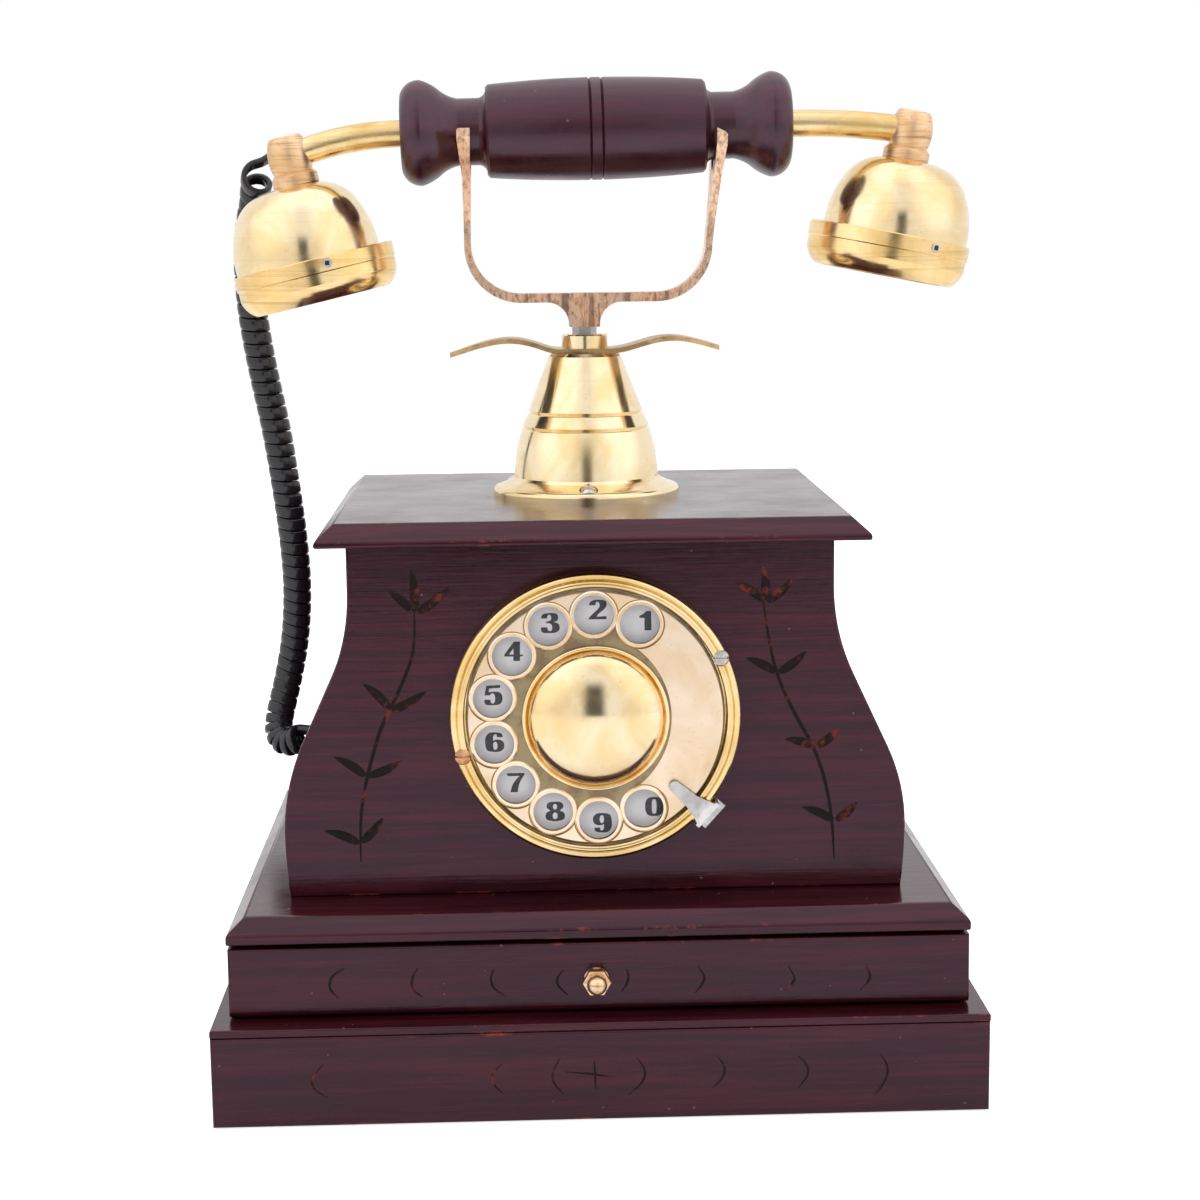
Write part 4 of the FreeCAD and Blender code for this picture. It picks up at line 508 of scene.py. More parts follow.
wheelBrass = makeWheelBrass(wheelValues)
brightSteel = makeSteel("bright steel", (0.66, 0.64, 0.62, 1), (0.18, 0.34))
stopSteel = makeSteel("stop steel", (0.78, 0.76, 0.76, 1), (0.30, 0.46))
screwMetal = makeScrewMetal(screwValues)


# Plate, numbers, cord and inner works

mottledFinishes = {  # specks as scale, share of the places, strength and tone
    "plate white": {
        "tones": ((0.74, 0.73, 0.77, 1), (0.66, 0.65, 0.69, 1)), "mottle": (90.0, 3.0, 0.55),
        "cover": (0.3, 0.7), "rough": (0.38, 0.5), "specks": (700.0, 0.05, 0.35, (0.45, 0.40, 0.38, 1)), "bump": 0.1},
    "number ink": {
        "tones": ((0.030, 0.032, 0.038, 1), (0.075, 0.078, 0.088, 1)), "mottle": (900.0, 3.0, 0.6),
        "cover": (0.45, 0.72), "rough": (0.42, 0.6)},
}
blackFinishes = {
    "mottle": (60.0, 3.0, 0.6),
    "cover": (0.3, 0.7),
    "specks": (600.0, 0.05, 0.4, (0.12, 0.115, 0.11, 1)),
    "lighter": 1.8,
}
windingValues = {
    "wires": 520.0,  # in a metre
    "waver": 0.4,
    "tones": ((0.20, 0.045, 0.012, 1), (0.56, 0.17, 0.05, 1)),
    "rough": (0.45, 0.28),
    "relief": (0.6, 0.3),
    "metallic": 0.6,
}
laminateValues = {
    "weave": 900.0,
    "weaveShare": 0.2,
    "clouds": (70.0, 3.0, 0.6),
    "tones": ((0.24, 0.12, 0.035, 1), (0.36, 0.20, 0.07, 1)),
    "threads": (0.14, 0.07, 0.02, 1),
    "rough": (0.35, 0.5),
    "bump": 0.15,
}


def makeMottled(name, tones, mottle, cover, rough, specks=None, bump=0.0, grain=None):
    material, shader, place = newMaterial(name)
    cloud = spread(noise(place, *mottle), *cover)
    colour = blendColours(cloud, *tones)
    if specks:
        dust, colour = dusted(place, colour, *specks)
    height = noise(place, grain) if grain else cloud
    finish(shader, colour, spread(cloud, 0, 1, rough), height if bump else None, bump)
    return material


def makeBlack(name, tone, rough, grain, bump):
    values = blackFinishes
    lighter = tuple(channel * values["lighter"] for channel in tone[:3]) + (1,)
    return makeMottled(name, (tone, lighter), values["mottle"], values["cover"], rough, values["specks"],
                       bump, grain)


def makeWinding(values):
    material, shader, place = newMaterial("copper winding")
    settings = {"Vector": place, "Scale": values["wires"], "Distortion": values["waver"]}
    wave = addNode(place, "ShaderNodeTexWave", settings, bands_direction="Z").outputs["Fac"]
    finish(shader, blendColours(wave, *values["tones"]), spread(wave, 0, 1, values["rough"]), wave,
           *values["relief"], metallic=values["metallic"])
    return material


def makeLaminate(values):
    material, shader, place = newMaterial("board laminate")
    weave = addNode(place, "ShaderNodeTexChecker", {"Vector": place, "Scale": values["weave"]}).outputs["Fac"]
    cloud = noise(place, *values["clouds"])
    base = blendColours(cloud, *values["tones"])
    colour = blendColours(times(weave, values["weaveShare"]), base, values["threads"])
    finish(shader, colour, spread(cloud, 0.3, 0.7, values["rough"]), weave, values["bump"])
    return material


plateWhite, numberInk = (makeMottled(name, **values) for name, values in mottledFinishes.items())
cordBlack = makeBlack("cord black", (0.0080, 0.0075, 0.0092, 1), (0.14, 0.24), 500.0, 0.12)
mouldedBlack = makeBlack("moulded black", (0.012, 0.012, 0.012, 1), (0.4, 0.55), 900.0, 0.3)
# near-black for the grub screws' square sockets: painted shade for their hollows
paintedSocketShade = makeBlack("painted socket shade", (0.010, 0.007, 0.005, 1), (0.6, 0.7), 900.0, 0.3)
copperWinding = makeWinding(windingValues)
boardLaminate = makeLaminate(laminateValues)
print("materials made")


# Making and finishing a piece

def toMesh(name, shape):
    mesh = bpy.data.meshes.new(name)
    shape.to_mesh(mesh)
    shape.free()
    return mesh


def newPiece(name, shape, material, body, stands=()):
    mesh = toMesh(name, shape)
    mesh.materials.clear()
    mesh.materials.append(material)
    piece = addObject(name, mesh)
    if body:
        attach(piece, body)
    if stands:
        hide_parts(*stands)
    return piece


def closeShape(shape, nearest=1e-7):
    bmesh.ops.remove_doubles(shape, verts=shape.verts, dist=nearest)
    bmesh.ops.holes_fill(shape, edges=[edge for edge in shape.edges if edge.is_boundary], sides=0)
    bmesh.ops.recalc_face_normals(shape, faces=shape.faces)


def softShading(shape, angle):
    for face in shape.faces:
        face.smooth = True
    for edge in shape.edges:
        edge.smooth = len(edge.link_faces) == 2 and edge.calc_face_angle() < math.radians(angle)


def evenNormals(piece):
    weighted = piece.modifiers.new("even normals", "WEIGHTED_NORMAL")
    weighted.keep_sharp = True
    weighted.weight = 80


def roundEdges(shape, edges, width, segments, clamp):
    return bmesh.ops.bevel(shape, geom=edges, offset=width * mm, offset_type="OFFSET", segments=segments,
                           profile=0.5, affect="EDGES", material=-1, clamp_overlap=clamp)["faces"]


def bakedMesh(piece):
    ready = piece.evaluated_get(bpy.context.evaluated_depsgraph_get())
    return bpy.data.meshes.new_from_object(ready)


def cutAway(piece, tool, crossing):
    cut = piece.modifiers.new("cut", "BOOLEAN")
    cut.operation = "DIFFERENCE"
    cut.solver = "EXACT"
    cut.use_self = crossing
    cut.material_mode = "TRANSFER" if tool.data.materials else "INDEX"
    cut.object = tool
    rest = bakedMesh(piece)
    piece.modifiers.clear()
    piece.data = rest
    bpy.data.objects.remove(tool)


def newCurve(name, resolution, dimensions="3D"):
    curve = bpy.data.curves.new(name, "CURVE")
    curve.dimensions = dimensions
    curve.resolution_u = resolution
    return curve


def addSpline(curve, places, cyclic=False):
    spline = curve.splines.new("NURBS")
    spline.points.add(len(places) - 1)
    for point, place in zip(spline.points, places):
        point.co = (*place, 1)
    spline.order_u = 3
    spline.use_cyclic_u = cyclic
    spline.use_endpoint_u = not cyclic
    return spline


def curveMesh(curve):
    carrier = addObject(curve.name, curve)
    mesh = bakedMesh(carrier)
    bpy.data.objects.remove(carrier)
    return mesh


# Curly cord

cordValues = {
    "route": [(-97.2, 35.4, 85.0), (-99.6, 36.8, 83.4), (-102.8, 39.4, 83.3), (-104.8, 42.4, 86.4),
              (-104.2, 45.0, 91.5), (-102.7, 46.8, 97.5), (-101.2, 47.6, 103.5), (-98.1, 46.2, 117.5),
              (-96.5, 43.2, 134.8), (-97.0, 40.4, 151.9), (-98.7, 37.6, 170.0), (-101.1, 35.6, 190.0),
              (-104.6, 33.2, 209.0), (-107.2, 31.0, 228.0), (-107.8, 29.8, 244.0), (-107.0, 29.6, 253.5),
              (-105.7, 28.6, 261.0), (-104.3, 25.4, 266.4), (-102.9, 20.8, 269.8), (-101.6, 15.5, 272.8)],
    "mouth": (-88.1, 36.0, 87.4),  # where it leaves the gland
    "end": (-90.699, 9.1, 277.815),  # where it goes into the elbow
    "straight": 3.1,  # at both ends
    "length": 1.12,  # metres
    "bandWidth": 4.05,
    "bandThickness": 2.7,
    "flatness": 0.45,  # 1 is an oval band, less is squarer
    "curlRadius": 3.45,
    "pitch": 4.2,
    "fan": (12.0, 18.0, 0.68),  # narrower bands, closer together, in the low bend
    "loose": 17.0,  # curls open and widen over this last stretch
    "looser": (2.1, 1.4),  # pitch and radius
    "slender": (110, 60, 0.66),  # rings from the end where thinning starts and is full, and the share left
    "rise": (-4.0, 0.0, 5.5),  # how the last stretch bows out before the elbow
    "handles": (0.55, 0.42),  # of both end stretches, as shares of the curl's radius and of the gap
    "endPoints": (8, 14),
    "pointsPerCurl": 24,
    "sides": 16,
}


def routeLine(values):
    route = newCurve("cord route", 48)
    addSpline(route, [(x * mm, y * mm, z * mm) for x, y, z in values["route"]])
    return [vertex.co.copy() for vertex in curveMesh(route).vertices]


def curlStations(values):
    spots = routeLine(values)
    up = Vector((0, 0, 1))
    angle = 0.0
    whole = left = sum((second - first).length for first, second in zip(spots, spots[1:]))
    fanEnd, plainStart, narrow = values["fan"]
    opened, widened = values["looser"]
    stations = []
    for before, spot, after in zip([spots[0]] + spots, spots, spots[1:] + [spots[-1]]):
        way = (after - before).normalized()
        up = (up - way * up.dot(way)).normalized()
        share = ramp(left, values["loose"] * mm, 0)
        wide = values["curlRadius"] * mm * between(1, widened, share)
        slim = between(narrow, 1, ramp((whole - left) / mm, fanEnd, plainStart))
        stations.append((spot, way, up, angle, wide, slim))
        step = (after - spot).length
        left -= step
        angle += math.tau * step / (values["pitch"] * mm * slim * between(1, opened, share))
    return stations


def curlAt(stations, wanted):
    low = min(bisect(stations, wanted, key=lambda station: station[3]), len(stations) - 1) - 1
    first, second = stations[low], stations[low + 1]
    share = (wanted - first[3]) / (second[3] - first[3])
    spot, way, up = (first[k].lerp(second[k], share) for k in range(3))
    radius, slim = (between(first[k], second[k], share) for k in (4, 5))
    around = up * math.cos(wanted) + up.cross(way) * math.sin(wanted)
    return spot + around * radius, way * slim


def curlPath(values):
    stations = curlStations(values)
    radius, straight = values["curlRadius"] * mm, values["straight"] * mm
    mouth, end = Vector(values["mouth"]) * mm, Vector(values["end"]) * mm
    lead, tail = mouth - Vector((straight, 0, 0)), end + Vector((0, straight, 0))
    corner = tail + Vector((0, radius, 0))
    startHandle, endHandle = values["handles"]
    startPoints, endPoints = values["endPoints"]

    def wayAt(wanted):
        return (curlAt(stations, wanted + 0.01)[0] - curlAt(stations, wanted - 0.01)[0]).normalized()

    def aim(wanted):
        way = corner - curlAt(stations, wanted)[0]
        way.y = 0
        return wayAt(wanted).dot(way.normalized())

    turns = (stations[-1][3] - math.radians(k) for k in range(2, 361))
    last = max(turns, key=aim)  # the last curl ends where it faces the elbow
    count = round(last / math.tau * values["pointsPerCurl"])
    curls = [curlAt(stations, last * k / count) for k in range(count + 1)]
    first, final = curls[0][0], curls[-1][0]
    reach = radius * startHandle
    leadIn = interpolate_bezier(lead, lead - Vector((reach, 0, 0)), first - wayAt(0.02) * reach, first,
                                startPoints)
    span = (tail - final).length * endHandle
    bow = tail + Vector((0, span, 0)) + Vector(values["rise"]) * mm
    leadOut = interpolate_bezier(final, final + wayAt(last) * span, bow, tail, endPoints)
    path = [mouth, mouth.lerp(lead, 0.5)] + leadIn[:-1] + [spot for spot, across in curls]
    path += leadOut[1:] + [tail.lerp(end, 0.5), end]
    slim = curls[0][1]
    wide = [slim.normalized().lerp(slim, k / len(leadIn)) for k in range(len(leadIn) + 1)]
    wide += [across for spot, across in curls]
    wide += [curls[-1][1]] * (len(path) - len(wide))
    return path, wide


def addRing(shape, values, spot, way, across, thin):
    ring = bmesh.ops.create_circle(shape, segments=values["sides"], radius=1.0)["verts"]
    for vertex in ring:
        vertex.co.x = math.copysign(abs(vertex.co.x) ** values["flatness"], vertex.co.x)
        vertex.co.y = math.copysign(abs(vertex.co.y) ** values["flatness"], vertex.co.y)
    half, thick = values["bandWidth"] / 2 * mm, values["bandThickness"] / 2 * mm
    turn = Matrix((across * half, thin * thick, way)).transposed().to_4x4()
    bmesh.ops.transform(shape, matrix=Matrix.Translation(spot) @ turn, verts=ring)
    return list({edge for vertex in ring for edge in vertex.link_edges})


def bandPlaces(path, wide):
    across = wide[0]
    places = []
    for before, spot, after, wish in zip([path[0]] + path, path, path[1:] + [path[-1]], wide):
        way = (after - before).normalized()
        thin = way.cross(wish.normalized())
        if thin.length < 0.3:
            thin = way.cross(across)
        thin.normalize()
        across = thin.cross(way)
        places.append((spot, way, across * wish.length, thin))
    return places


def makeCurlyCord(values):
    path, wide = curlPath(values)
    places = bandPlaces(path, wide)
    thinStart, thinFull, least = values["slender"]
    for k, (spot, way, across, thin) in enumerate(places):
        share = ramp(len(places) - k, thinStart, thinFull)
        places[k] = (spot, way, across, thin * between(1, least, share))
    whole = bmesh.new()
    step = values["pointsPerCurl"]
    for start in range(0, len(places) - 1, step):  # one curl at a time
        curl = bmesh.new()
        rings = [addRing(curl, values, *place) for place in places[start:start + step + 1]]
        for first, second in zip(rings, rings[1:]):
            bmesh.ops.bridge_loops(curl, edges=first + second)
        piece = toMesh("curl", curl)
        whole.from_mesh(piece)
        bpy.data.meshes.remove(piece)
    closeShape(whole)
    softShading(whole, 60)
    cord = newPiece("curlyCord", whole, cordBlack, None, ["curly_cord"])
    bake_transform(cord)
    return sum((after - before).length for before, after in zip(path, path[1:]))


print("cord made, %.3f m of it" % makeCurlyCord(cordValues))


# Wooden boards with softened edges

boardValues = {
    "plinth_front_board": (0.8, boardWood),
    "plinth_rear_board": (0.8, boardWood),
    "plinth_side_boards": (0.8, sideWood),
    "plinth_deck": (0.5, boardWood),
    "carcass_side_rails": (0.6, sideWood),
    "carcass_rear_rail": (0.6, boardWood),
    "moulding_board": (0.6, boardWood),
    "drawer_front": (0.6, boardWood),
    "front_panel": (0.8, boardWood),
    "rear_panel": (0.6, boardWood),
    "left_side_panel": (0.5, sideWood),
    "right_side_panel": (0.5, sideWood),
    "top_board": (0.5, boardWood),
}
edgeChoice = {
    "shortest": 12,
    "sharp": 28,  # degrees
    "front": 0.2,  # on the front panel only edges this near its face
    "dial": (112.9, 50),  # height of the dial's middle, and the radius round it that stays sharp
}


def looseCopy(name):
    shape = bmesh.new()
    shape.from_mesh(nodes[name].data)
    bmesh.ops.remove_doubles(shape, verts=shape.verts, dist=2e-6)
    bmesh.ops.dissolve_limit(shape, angle_limit=math.radians(0.6), verts=shape.verts, edges=shape.edges)
    return shape


def wantedEdge(name, edge):
    if len(edge.link_faces) != 2 or edge.calc_face_angle() < math.radians(edgeChoice["sharp"]):
        return False
    if name == "front_panel":
        height, radius = edgeChoice["dial"]
        middle = (edge.verts[0].co + edge.verts[1].co) / 2
        onFace = middle.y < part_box(name)[0].y + edgeChoice["front"] * mm
        return onFace and math.hypot(middle.x, middle.z - height * mm) > radius * mm
    return edge.calc_length() > edgeChoice["shortest"] * mm


def softenedBoard(name, values):
    width, material = values
    shape = looseCopy(name)
    layer = shape.faces.layers.float.new("edge")
    edges = [edge for edge in shape.edges if wantedEdge(name, edge)]
    for face in roundEdges(shape, edges, width, 3, False):
        face[layer] = 1.0
    softShading(shape, 40)
    body = nodes[name]["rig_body"]
    piece = newPiece(name.replace("_", "-") + "-finished", shape, material, body, [name])
    evenNormals(piece)
    return piece


vines = {
    "stemWidth": 1.3,
    "leafWidth": 3.0,
    "depth": 0.62,  # share of the half width
    "stems": [
        [(-52.3, 144.3), (-52.2, 138.7), (-52.9, 131.3), (-55.8, 123.9), (-59.8, 115.6), (-63.2, 109.1),
         (-65.4, 101.7), (-67.4, 94.8), (-69.1, 86.6), (-69.9, 77.5), (-69.8, 69.3)],
        [(49.5, 145.8), (50.7, 136.9), (52.7, 126.4), (56.0, 117.4), (60.7, 108.3), (64.3, 102.1),
         (67.6, 93.0), (69.7, 82.3), (70.4, 74.6), (70.7, 67.5)],
    ],
    "leaves": [  # tip and base
        [(-52.9, 156.4), (-52.3, 144.3)], [(-59.4, 150.0), (-53.2, 144.6)], [(-42.0, 151.2), (-51.2, 144.0)],
        [(-67.7, 123.0), (-60.1, 115.4)], [(-49.4, 120.5), (-59.5, 115.0)], [(-76.8, 101.3), (-67.9, 95.4)],
        [(-57.2, 99.7), (-66.8, 95.4)], [(-80.2, 79.0), (-70.3, 75.1)], [(-63.0, 82.6), (-69.4, 75.4)],
        [(49.5, 155.6), (50.1, 145.8)], [(41.3, 151.0), (49.8, 145.8)], [(58.0, 151.6), (50.7, 145.5)],
        [(44.5, 128.7), (53.0, 124.3)], [(62.2, 130.4), (54.2, 124.3)], [(56.0, 104.1), (64.6, 101.8)],
        [(72.0, 107.1), (65.5, 101.8)], [(61.1, 83.4), (70.4, 79.2)], [(77.5, 84.6), (71.3, 79.2)],
    ],
}
drawerCrescents = {
    "width": 0.85,
    "depth": 0.5,
    "strokes": [
        [(-73.6, 44.3), (-77.1, 42.6), (-78.3, 39.6), (-77.8, 37.2), (-75.6, 35.3)],
        [(-52.6, 43.8), (-54.1, 41.8), (-54.7, 39.1), (-53.9, 36.6), (-51.4, 35.1)],
        [(-30.7, 43.0), (-31.9, 40.9), (-31.4, 37.9), (-29.7, 36.1), (-27.7, 34.8)],
        [(-10.6, 42.3), (-12.6, 40.5), (-12.6, 37.8), (-11.2, 36.3), (-9.5, 34.7)],
        [(7.7, 42.1), (8.2, 40.0), (7.6, 37.6), (6.7, 36.4), (5.9, 35.3)],
        [(28.2, 42.3), (30.2, 39.8), (30.0, 38.0), (28.8, 36.2), (27.3, 34.4)],
        [(54.4, 42.0), (56.4, 38.9), (56.1, 37.4), (55.0, 35.9), (53.5, 34.7)],
        [(77.1, 41.4), (78.2, 39.3), (78.3, 37.8), (77.1, 35.7), (75.4, 34.2)],
    ],
}
plinthCrescents = {
    "width": 0.75,
    "depth": 0.5,
    "strokes": [
        [(-79.7, 18.7), (-82.3, 16.1), (-83.5, 13.4), (-82.5, 10.7), (-78.8, 8.5)],
        [(-28.8, 17.5), (-31.2, 15.5), (-32.1, 13.1), (-30.7, 10.3), (-28.4, 8.5)],
        [(-12.2, 18.9), (-14.0, 15.9), (-14.6, 12.9), (-13.5, 10.2), (-11.2, 8.0)],
        [(9.9, 18.4), (11.9, 15.9), (12.4, 12.9), (10.4, 9.6), (7.2, 7.3)],
        [(32.9, 18.4), (34.9, 16.2), (35.2, 13.2), (33.8, 10.8), (31.5, 8.8)],
        [(56.3, 17.8), (58.6, 16.0), (59.5, 12.9), (58.3, 10.5), (56.3, 8.2)],
        [(80.0, 17.9), (82.0, 15.4), (82.4, 11.8), (80.9, 8.5), (78.6, 5.5)],
        [(-10.8, 14.7), (-6.0, 14.2), (-3.1, 13.9), (0.0, 13.3), (3.5, 12.8)],
        [(-2.4, 18.7), (-2.3, 16.0), (-2.2, 13.8), (-2.1, 11.5), (-2.0, 9.0)],
    ],
}


def evenStroke(share):
    return 0.35 + 0.65 * math.sin(math.pi * share) ** 0.5


def leafStroke(share):
    return 0.12 + 0.95 * math.sin(math.pi * min(1.0, share * 0.9)) ** 0.8


def leafPoints(tip, base):
    tip, base = Vector(tip), Vector(base)
    side = (base - tip).orthogonal() * 0.05
    return [tip.lerp(base, share) + side * math.sin(math.pi * share) for share in (0, 0.2, 0.45, 0.7, 0.9, 1)]


def carvingTool(front, depth, strokes):
    curve = newCurve("carving tool", 4)
    curve.bevel_depth = mm
    curve.bevel_resolution = 1
    curve.use_fill_caps = True
    for points, width, swell in strokes:
        spline = addSpline(curve, [(x * mm, front, z * mm) for x, z in points])
        for k, point in enumerate(spline.points):
            point.radius = width / 2 * swell(k / (len(points) - 1))
    curve.materials.append(carvedWood)
    mesh = curveMesh(curve)
    toFront, fromFront = Matrix.Translation((0, front, 0)), Matrix.Translation((0, -front, 0))
    mesh.transform(toFront @ Matrix.Diagonal((1, depth, 1, 1)) @ fromFront)
    return addObject("carving tool", mesh)


def carve(piece, depth, strokes):
    front = min(vertex.co.y for vertex in piece.data.vertices)
    cutAway(piece, carvingTool(front, depth, strokes), crossing=True)
    shape = bmesh.new()
    shape.from_mesh(piece.data)
    softShading(shape, 40)
    shape.to_mesh(piece.data)
    shape.free()
    evenNormals(piece)


boards = {name: softenedBoard(name, values) for name, values in boardValues.items()}
stems = [(points, vines["stemWidth"], evenStroke) for points in vines["stems"]]
leaves = [(leafPoints(*leaf), vines["leafWidth"], leafStroke) for leaf in vines["leaves"]]
carve(boards["front_panel"], vines["depth"], stems + leaves)
for name, values in (("drawer_front", drawerCrescents), ("plinth_front_board", plinthCrescents)):
    strokes = [(points, values["width"], evenStroke) for points in values["strokes"]]
    carve(boards[name], values["depth"], strokes)
print("boards softened and carved")


# Numbers on the dial

dialHeight = sum(corner.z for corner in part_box("dial_bezel")) / 2  # of its middle

numberValues = {
    "height": 5.67,
    "thickness": 0.05,
    "places": {  # of each middle, from the middle of the dial
        "1": (14.9, 27.9), "2": (1.0, 31.4), "3": (-12.8, 27.7), "4": (-23.6, 19.5), "5": (-29.7, 6.6),
        "6": (-29.6, -7.4), "7": (-23.6, -19.7), "8": (-12.2, -28.6), "9": (1.7, -32.3), "0": (17.0, -27.7),
    },
}
numberShapes = {  # outlines in hundredths of the height, a third value of 1 makes a corner
    "0": [[(44, 101), (74, 99), (90, 76), (91, 50), (90, 24), (74, 1), (44, -1), (14, 1), (-2, 24), (-3, 50),
           (-2, 76), (14, 99)],
          [(44, 90), (55, 86), (57, 50), (55, 14), (44, 10), (33, 14), (31, 50), (33, 86)]],
    "1": [[(26, 0, 1), (62, 0, 1), (60, 100, 1), (36, 100, 1), (22, 86), (0, 76, 1), (0, 66, 1),
           (26, 64, 1)]],
    "2": [[(0, 0, 1), (2, 8), (28, 34), (54, 56), (60, 76), (50, 93), (38, 90), (38, 73, 1), (4, 73, 1),
           (7, 90), (30, 101), (62, 102), (92, 96), (96, 70), (78, 48), (50, 28), (42, 14, 1), (74, 14),
           (88, 17, 1), (94, 8, 1), (92, 0, 1)]],
    "3": [[(3, 74, 1), (6, 96), (36, 102), (66, 102), (90, 96), (90, 62), (66, 54, 1), (94, 48), (100, 14),
           (76, -2), (44, -2), (8, -2), (0, 14), (2, 28, 1), (34, 28, 1), (36, 10), (56, 6), (60, 28),
           (54, 48), (28, 50, 1), (28, 58, 1), (52, 60), (56, 80), (50, 94), (36, 92), (34, 74, 1)]],
    "4": [[(46, 0, 1), (80, 0, 1), (80, 24, 1), (95, 25, 1), (95, 33, 1), (80, 33, 1), (82, 101, 1),
           (50, 101, 1), (0, 34, 1), (0, 24, 1), (46, 24, 1)],
          [(24, 34, 1), (47, 34, 1), (47, 66, 1)]],
    "5": [[(12, 101, 1), (84, 103, 1), (82, 89, 1), (26, 85, 1), (24, 66, 1), (50, 70), (86, 66), (98, 34),
           (84, 0), (48, -2), (10, -2), (0, 12), (1, 27, 1), (32, 27, 1), (34, 8), (52, 6), (58, 34),
           (52, 60), (34, 60), (31, 50, 1), (2, 50, 1)]],
    "6": [[(88, 76, 1), (86, 96), (56, 102), (16, 102), (-4, 74), (-3, 36), (4, 4), (40, -2), (72, -2),
           (96, 16), (94, 52), (70, 64), (50, 63), (38, 58, 1), (38, 84), (50, 94), (58, 88), (58, 76, 1)],
          [(48, 54), (60, 46), (60, 16), (48, 8), (38, 16), (38, 46)]],
    "7": [[(0, 101, 1), (92, 101, 1), (92, 92), (72, 64), (60, 34), (55, 0, 1), (17, 0, 1), (26, 36),
           (44, 64), (66, 86, 1), (4, 86, 1)]],
    "8": [[(46, 102), (82, 100), (94, 74), (70, 54, 1), (96, 44), (98, 8), (62, -2), (30, -2), (-5, 8),
           (-3, 44), (22, 54, 1), (-2, 74), (10, 100)],
          [(46, 92), (58, 84), (56, 64), (46, 59), (36, 64), (35, 84)],
          [(46, 47), (59, 38), (58, 14), (46, 7), (34, 14), (33, 38)]],
}


def numberOutline(number):
    if number == "9":  # a six turned over
        return [[(92 - x, 100 - y, *corner) for x, y, *corner in loop] for loop in numberShapes["6"]]
    return numberShapes[number]


def numberMesh(number, values):
    scale = values["height"] / 100 * mm
    drawing = newCurve("number", 6, "2D")
    drawing.fill_mode = "BOTH"
    drawing.extrude = values["thickness"] * mm
    for loop in numberOutline(number):
        places = [(x * scale, y * scale, 0) for x, y, *corner in loop for k in range(1 + len(corner))]
        addSpline(drawing, places, cyclic=True)
    return curveMesh(drawing)


def makeNumbers(values):
    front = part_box("number_plate")[0].y
    whole = bmesh.new()
    for number, (x, z) in values["places"].items():
        mesh = numberMesh(number, values)
        wide = [vertex.co.x for vertex in mesh.vertices]
        centre = Matrix.Translation((-(min(wide) + max(wide)) / 2, -values["height"] / 2 * mm, 0))
        mesh.transform(Matrix.Translation((x * mm, front, dialHeight + z * mm)) @ turned(90, "X") @ centre)
        whole.from_mesh(mesh)
        bpy.data.meshes.remove(mesh)
    closeShape(whole)
    newPiece("dialNumbers", whole, numberInk, "base")


makeNumbers(numberValues)
print("numbers made")


# Flat face on the finger wheel, with a sunk ground round the middle

faceValues = {
    "radius": 37.1,
    "depths": (0.08, 0.62),  # of its front and back, behind the front of the wheel
    "holeCircle": 30.5,
    "holeFirst": 64.6,  # degrees
    "holeStep": 25.8,
    "rimRadius": 7.3,
    "ground": (-3.9, 0.0, 26.0),  # middle and radius of its plain end
    "groundReach": (4.0, 29.0),
    "over": 1.0,  # how far the cutting tools stand out on both sides
    "edge": 0.16,
    "sharp": 45,  # degrees
}


def addDisc(shape, x, z, radius, front, back, segments):
    spot = Matrix.Translation((x * mm, (front + back) / 2, z * mm))
    bmesh.ops.create_cone(shape, cap_ends=True, segments=segments, radius1=radius * mm, radius2=radius * mm,
                          depth=back - front, matrix=spot @ turned(90, "X"))


def groundSector(shape, values, front, back):
    start = turned(-values["holeFirst"], "Y")
    ends = [shape.verts.new(start @ Vector((radius * mm, front, 0))) for radius in values["groundReach"]]
    line = shape.edges.new(ends)
    bmesh.ops.spin(shape, geom=[*ends, line], cent=(0, 0, 0), axis=(0, 1, 0), steps=48,
                   angle=-math.radians(values["holeStep"] * 9))
    raised = bmesh.ops.extrude_face_region(shape, geom=list(shape.faces))["geom"]
    bmesh.ops.translate(shape, verts=[item for item in raised if isinstance(item, bmesh.types.BMVert)],
                        vec=(0, back - front, 0))


def faceTool(part, values, front, back):
    shape = bmesh.new()
    if part == "ground end":
        addDisc(shape, *values["ground"], front, back, 96)
    elif part == "ground":
        groundSector(shape, values, front, back)
    else:
        for k in range(10):
            angle = math.radians(values["holeFirst"] + values["holeStep"] * k)
            x, z = values["holeCircle"] * math.cos(angle), values["holeCircle"] * math.sin(angle)
            addDisc(shape, x, z, values["rimRadius"], front, back, 48)
    bmesh.ops.recalc_face_normals(shape, faces=shape.faces)
    return addObject(part, toMesh(part, shape))


def makeWheelFace(values):
    front, back = (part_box("finger_wheel")[0].y + depth * mm for depth in values["depths"])
    over = values["over"] * mm
    plate = bmesh.new()
    addDisc(plate, 0, 0, values["radius"], front, back, 120)
    piece = newPiece("wheelFace", plate, brass["face"], None)
    for part in ("ground end", "ground", "holes"):
        cutAway(piece, faceTool(part, values, front - over, back + over), crossing=part == "holes")
    shape = bmesh.new()
    shape.from_mesh(piece.data)
    bmesh.ops.dissolve_limit(shape, angle_limit=math.radians(0.5), verts=shape.verts, edges=shape.edges)
    rims = [edge for edge in shape.edges if all(abs(vertex.co.y - front) < 1e-6 for vertex in edge.verts)
            and len(edge.link_faces) == 2 and edge.calc_face_angle() > math.radians(values["sharp"])]
    roundEdges(shape, rims, values["edge"], 2, True)
    softShading(shape, 45)
    bmesh.ops.translate(shape, verts=shape.verts, vec=(0, 0, dialHeight))
    shape.to_mesh(piece.data)
    shape.free()
    evenNormals(piece)
    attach(piece, "dial_wheel")


makeWheelFace(faceValues)
print("wheel face made")


# Dome in the middle of the dial, rounder at its edge than in the middle

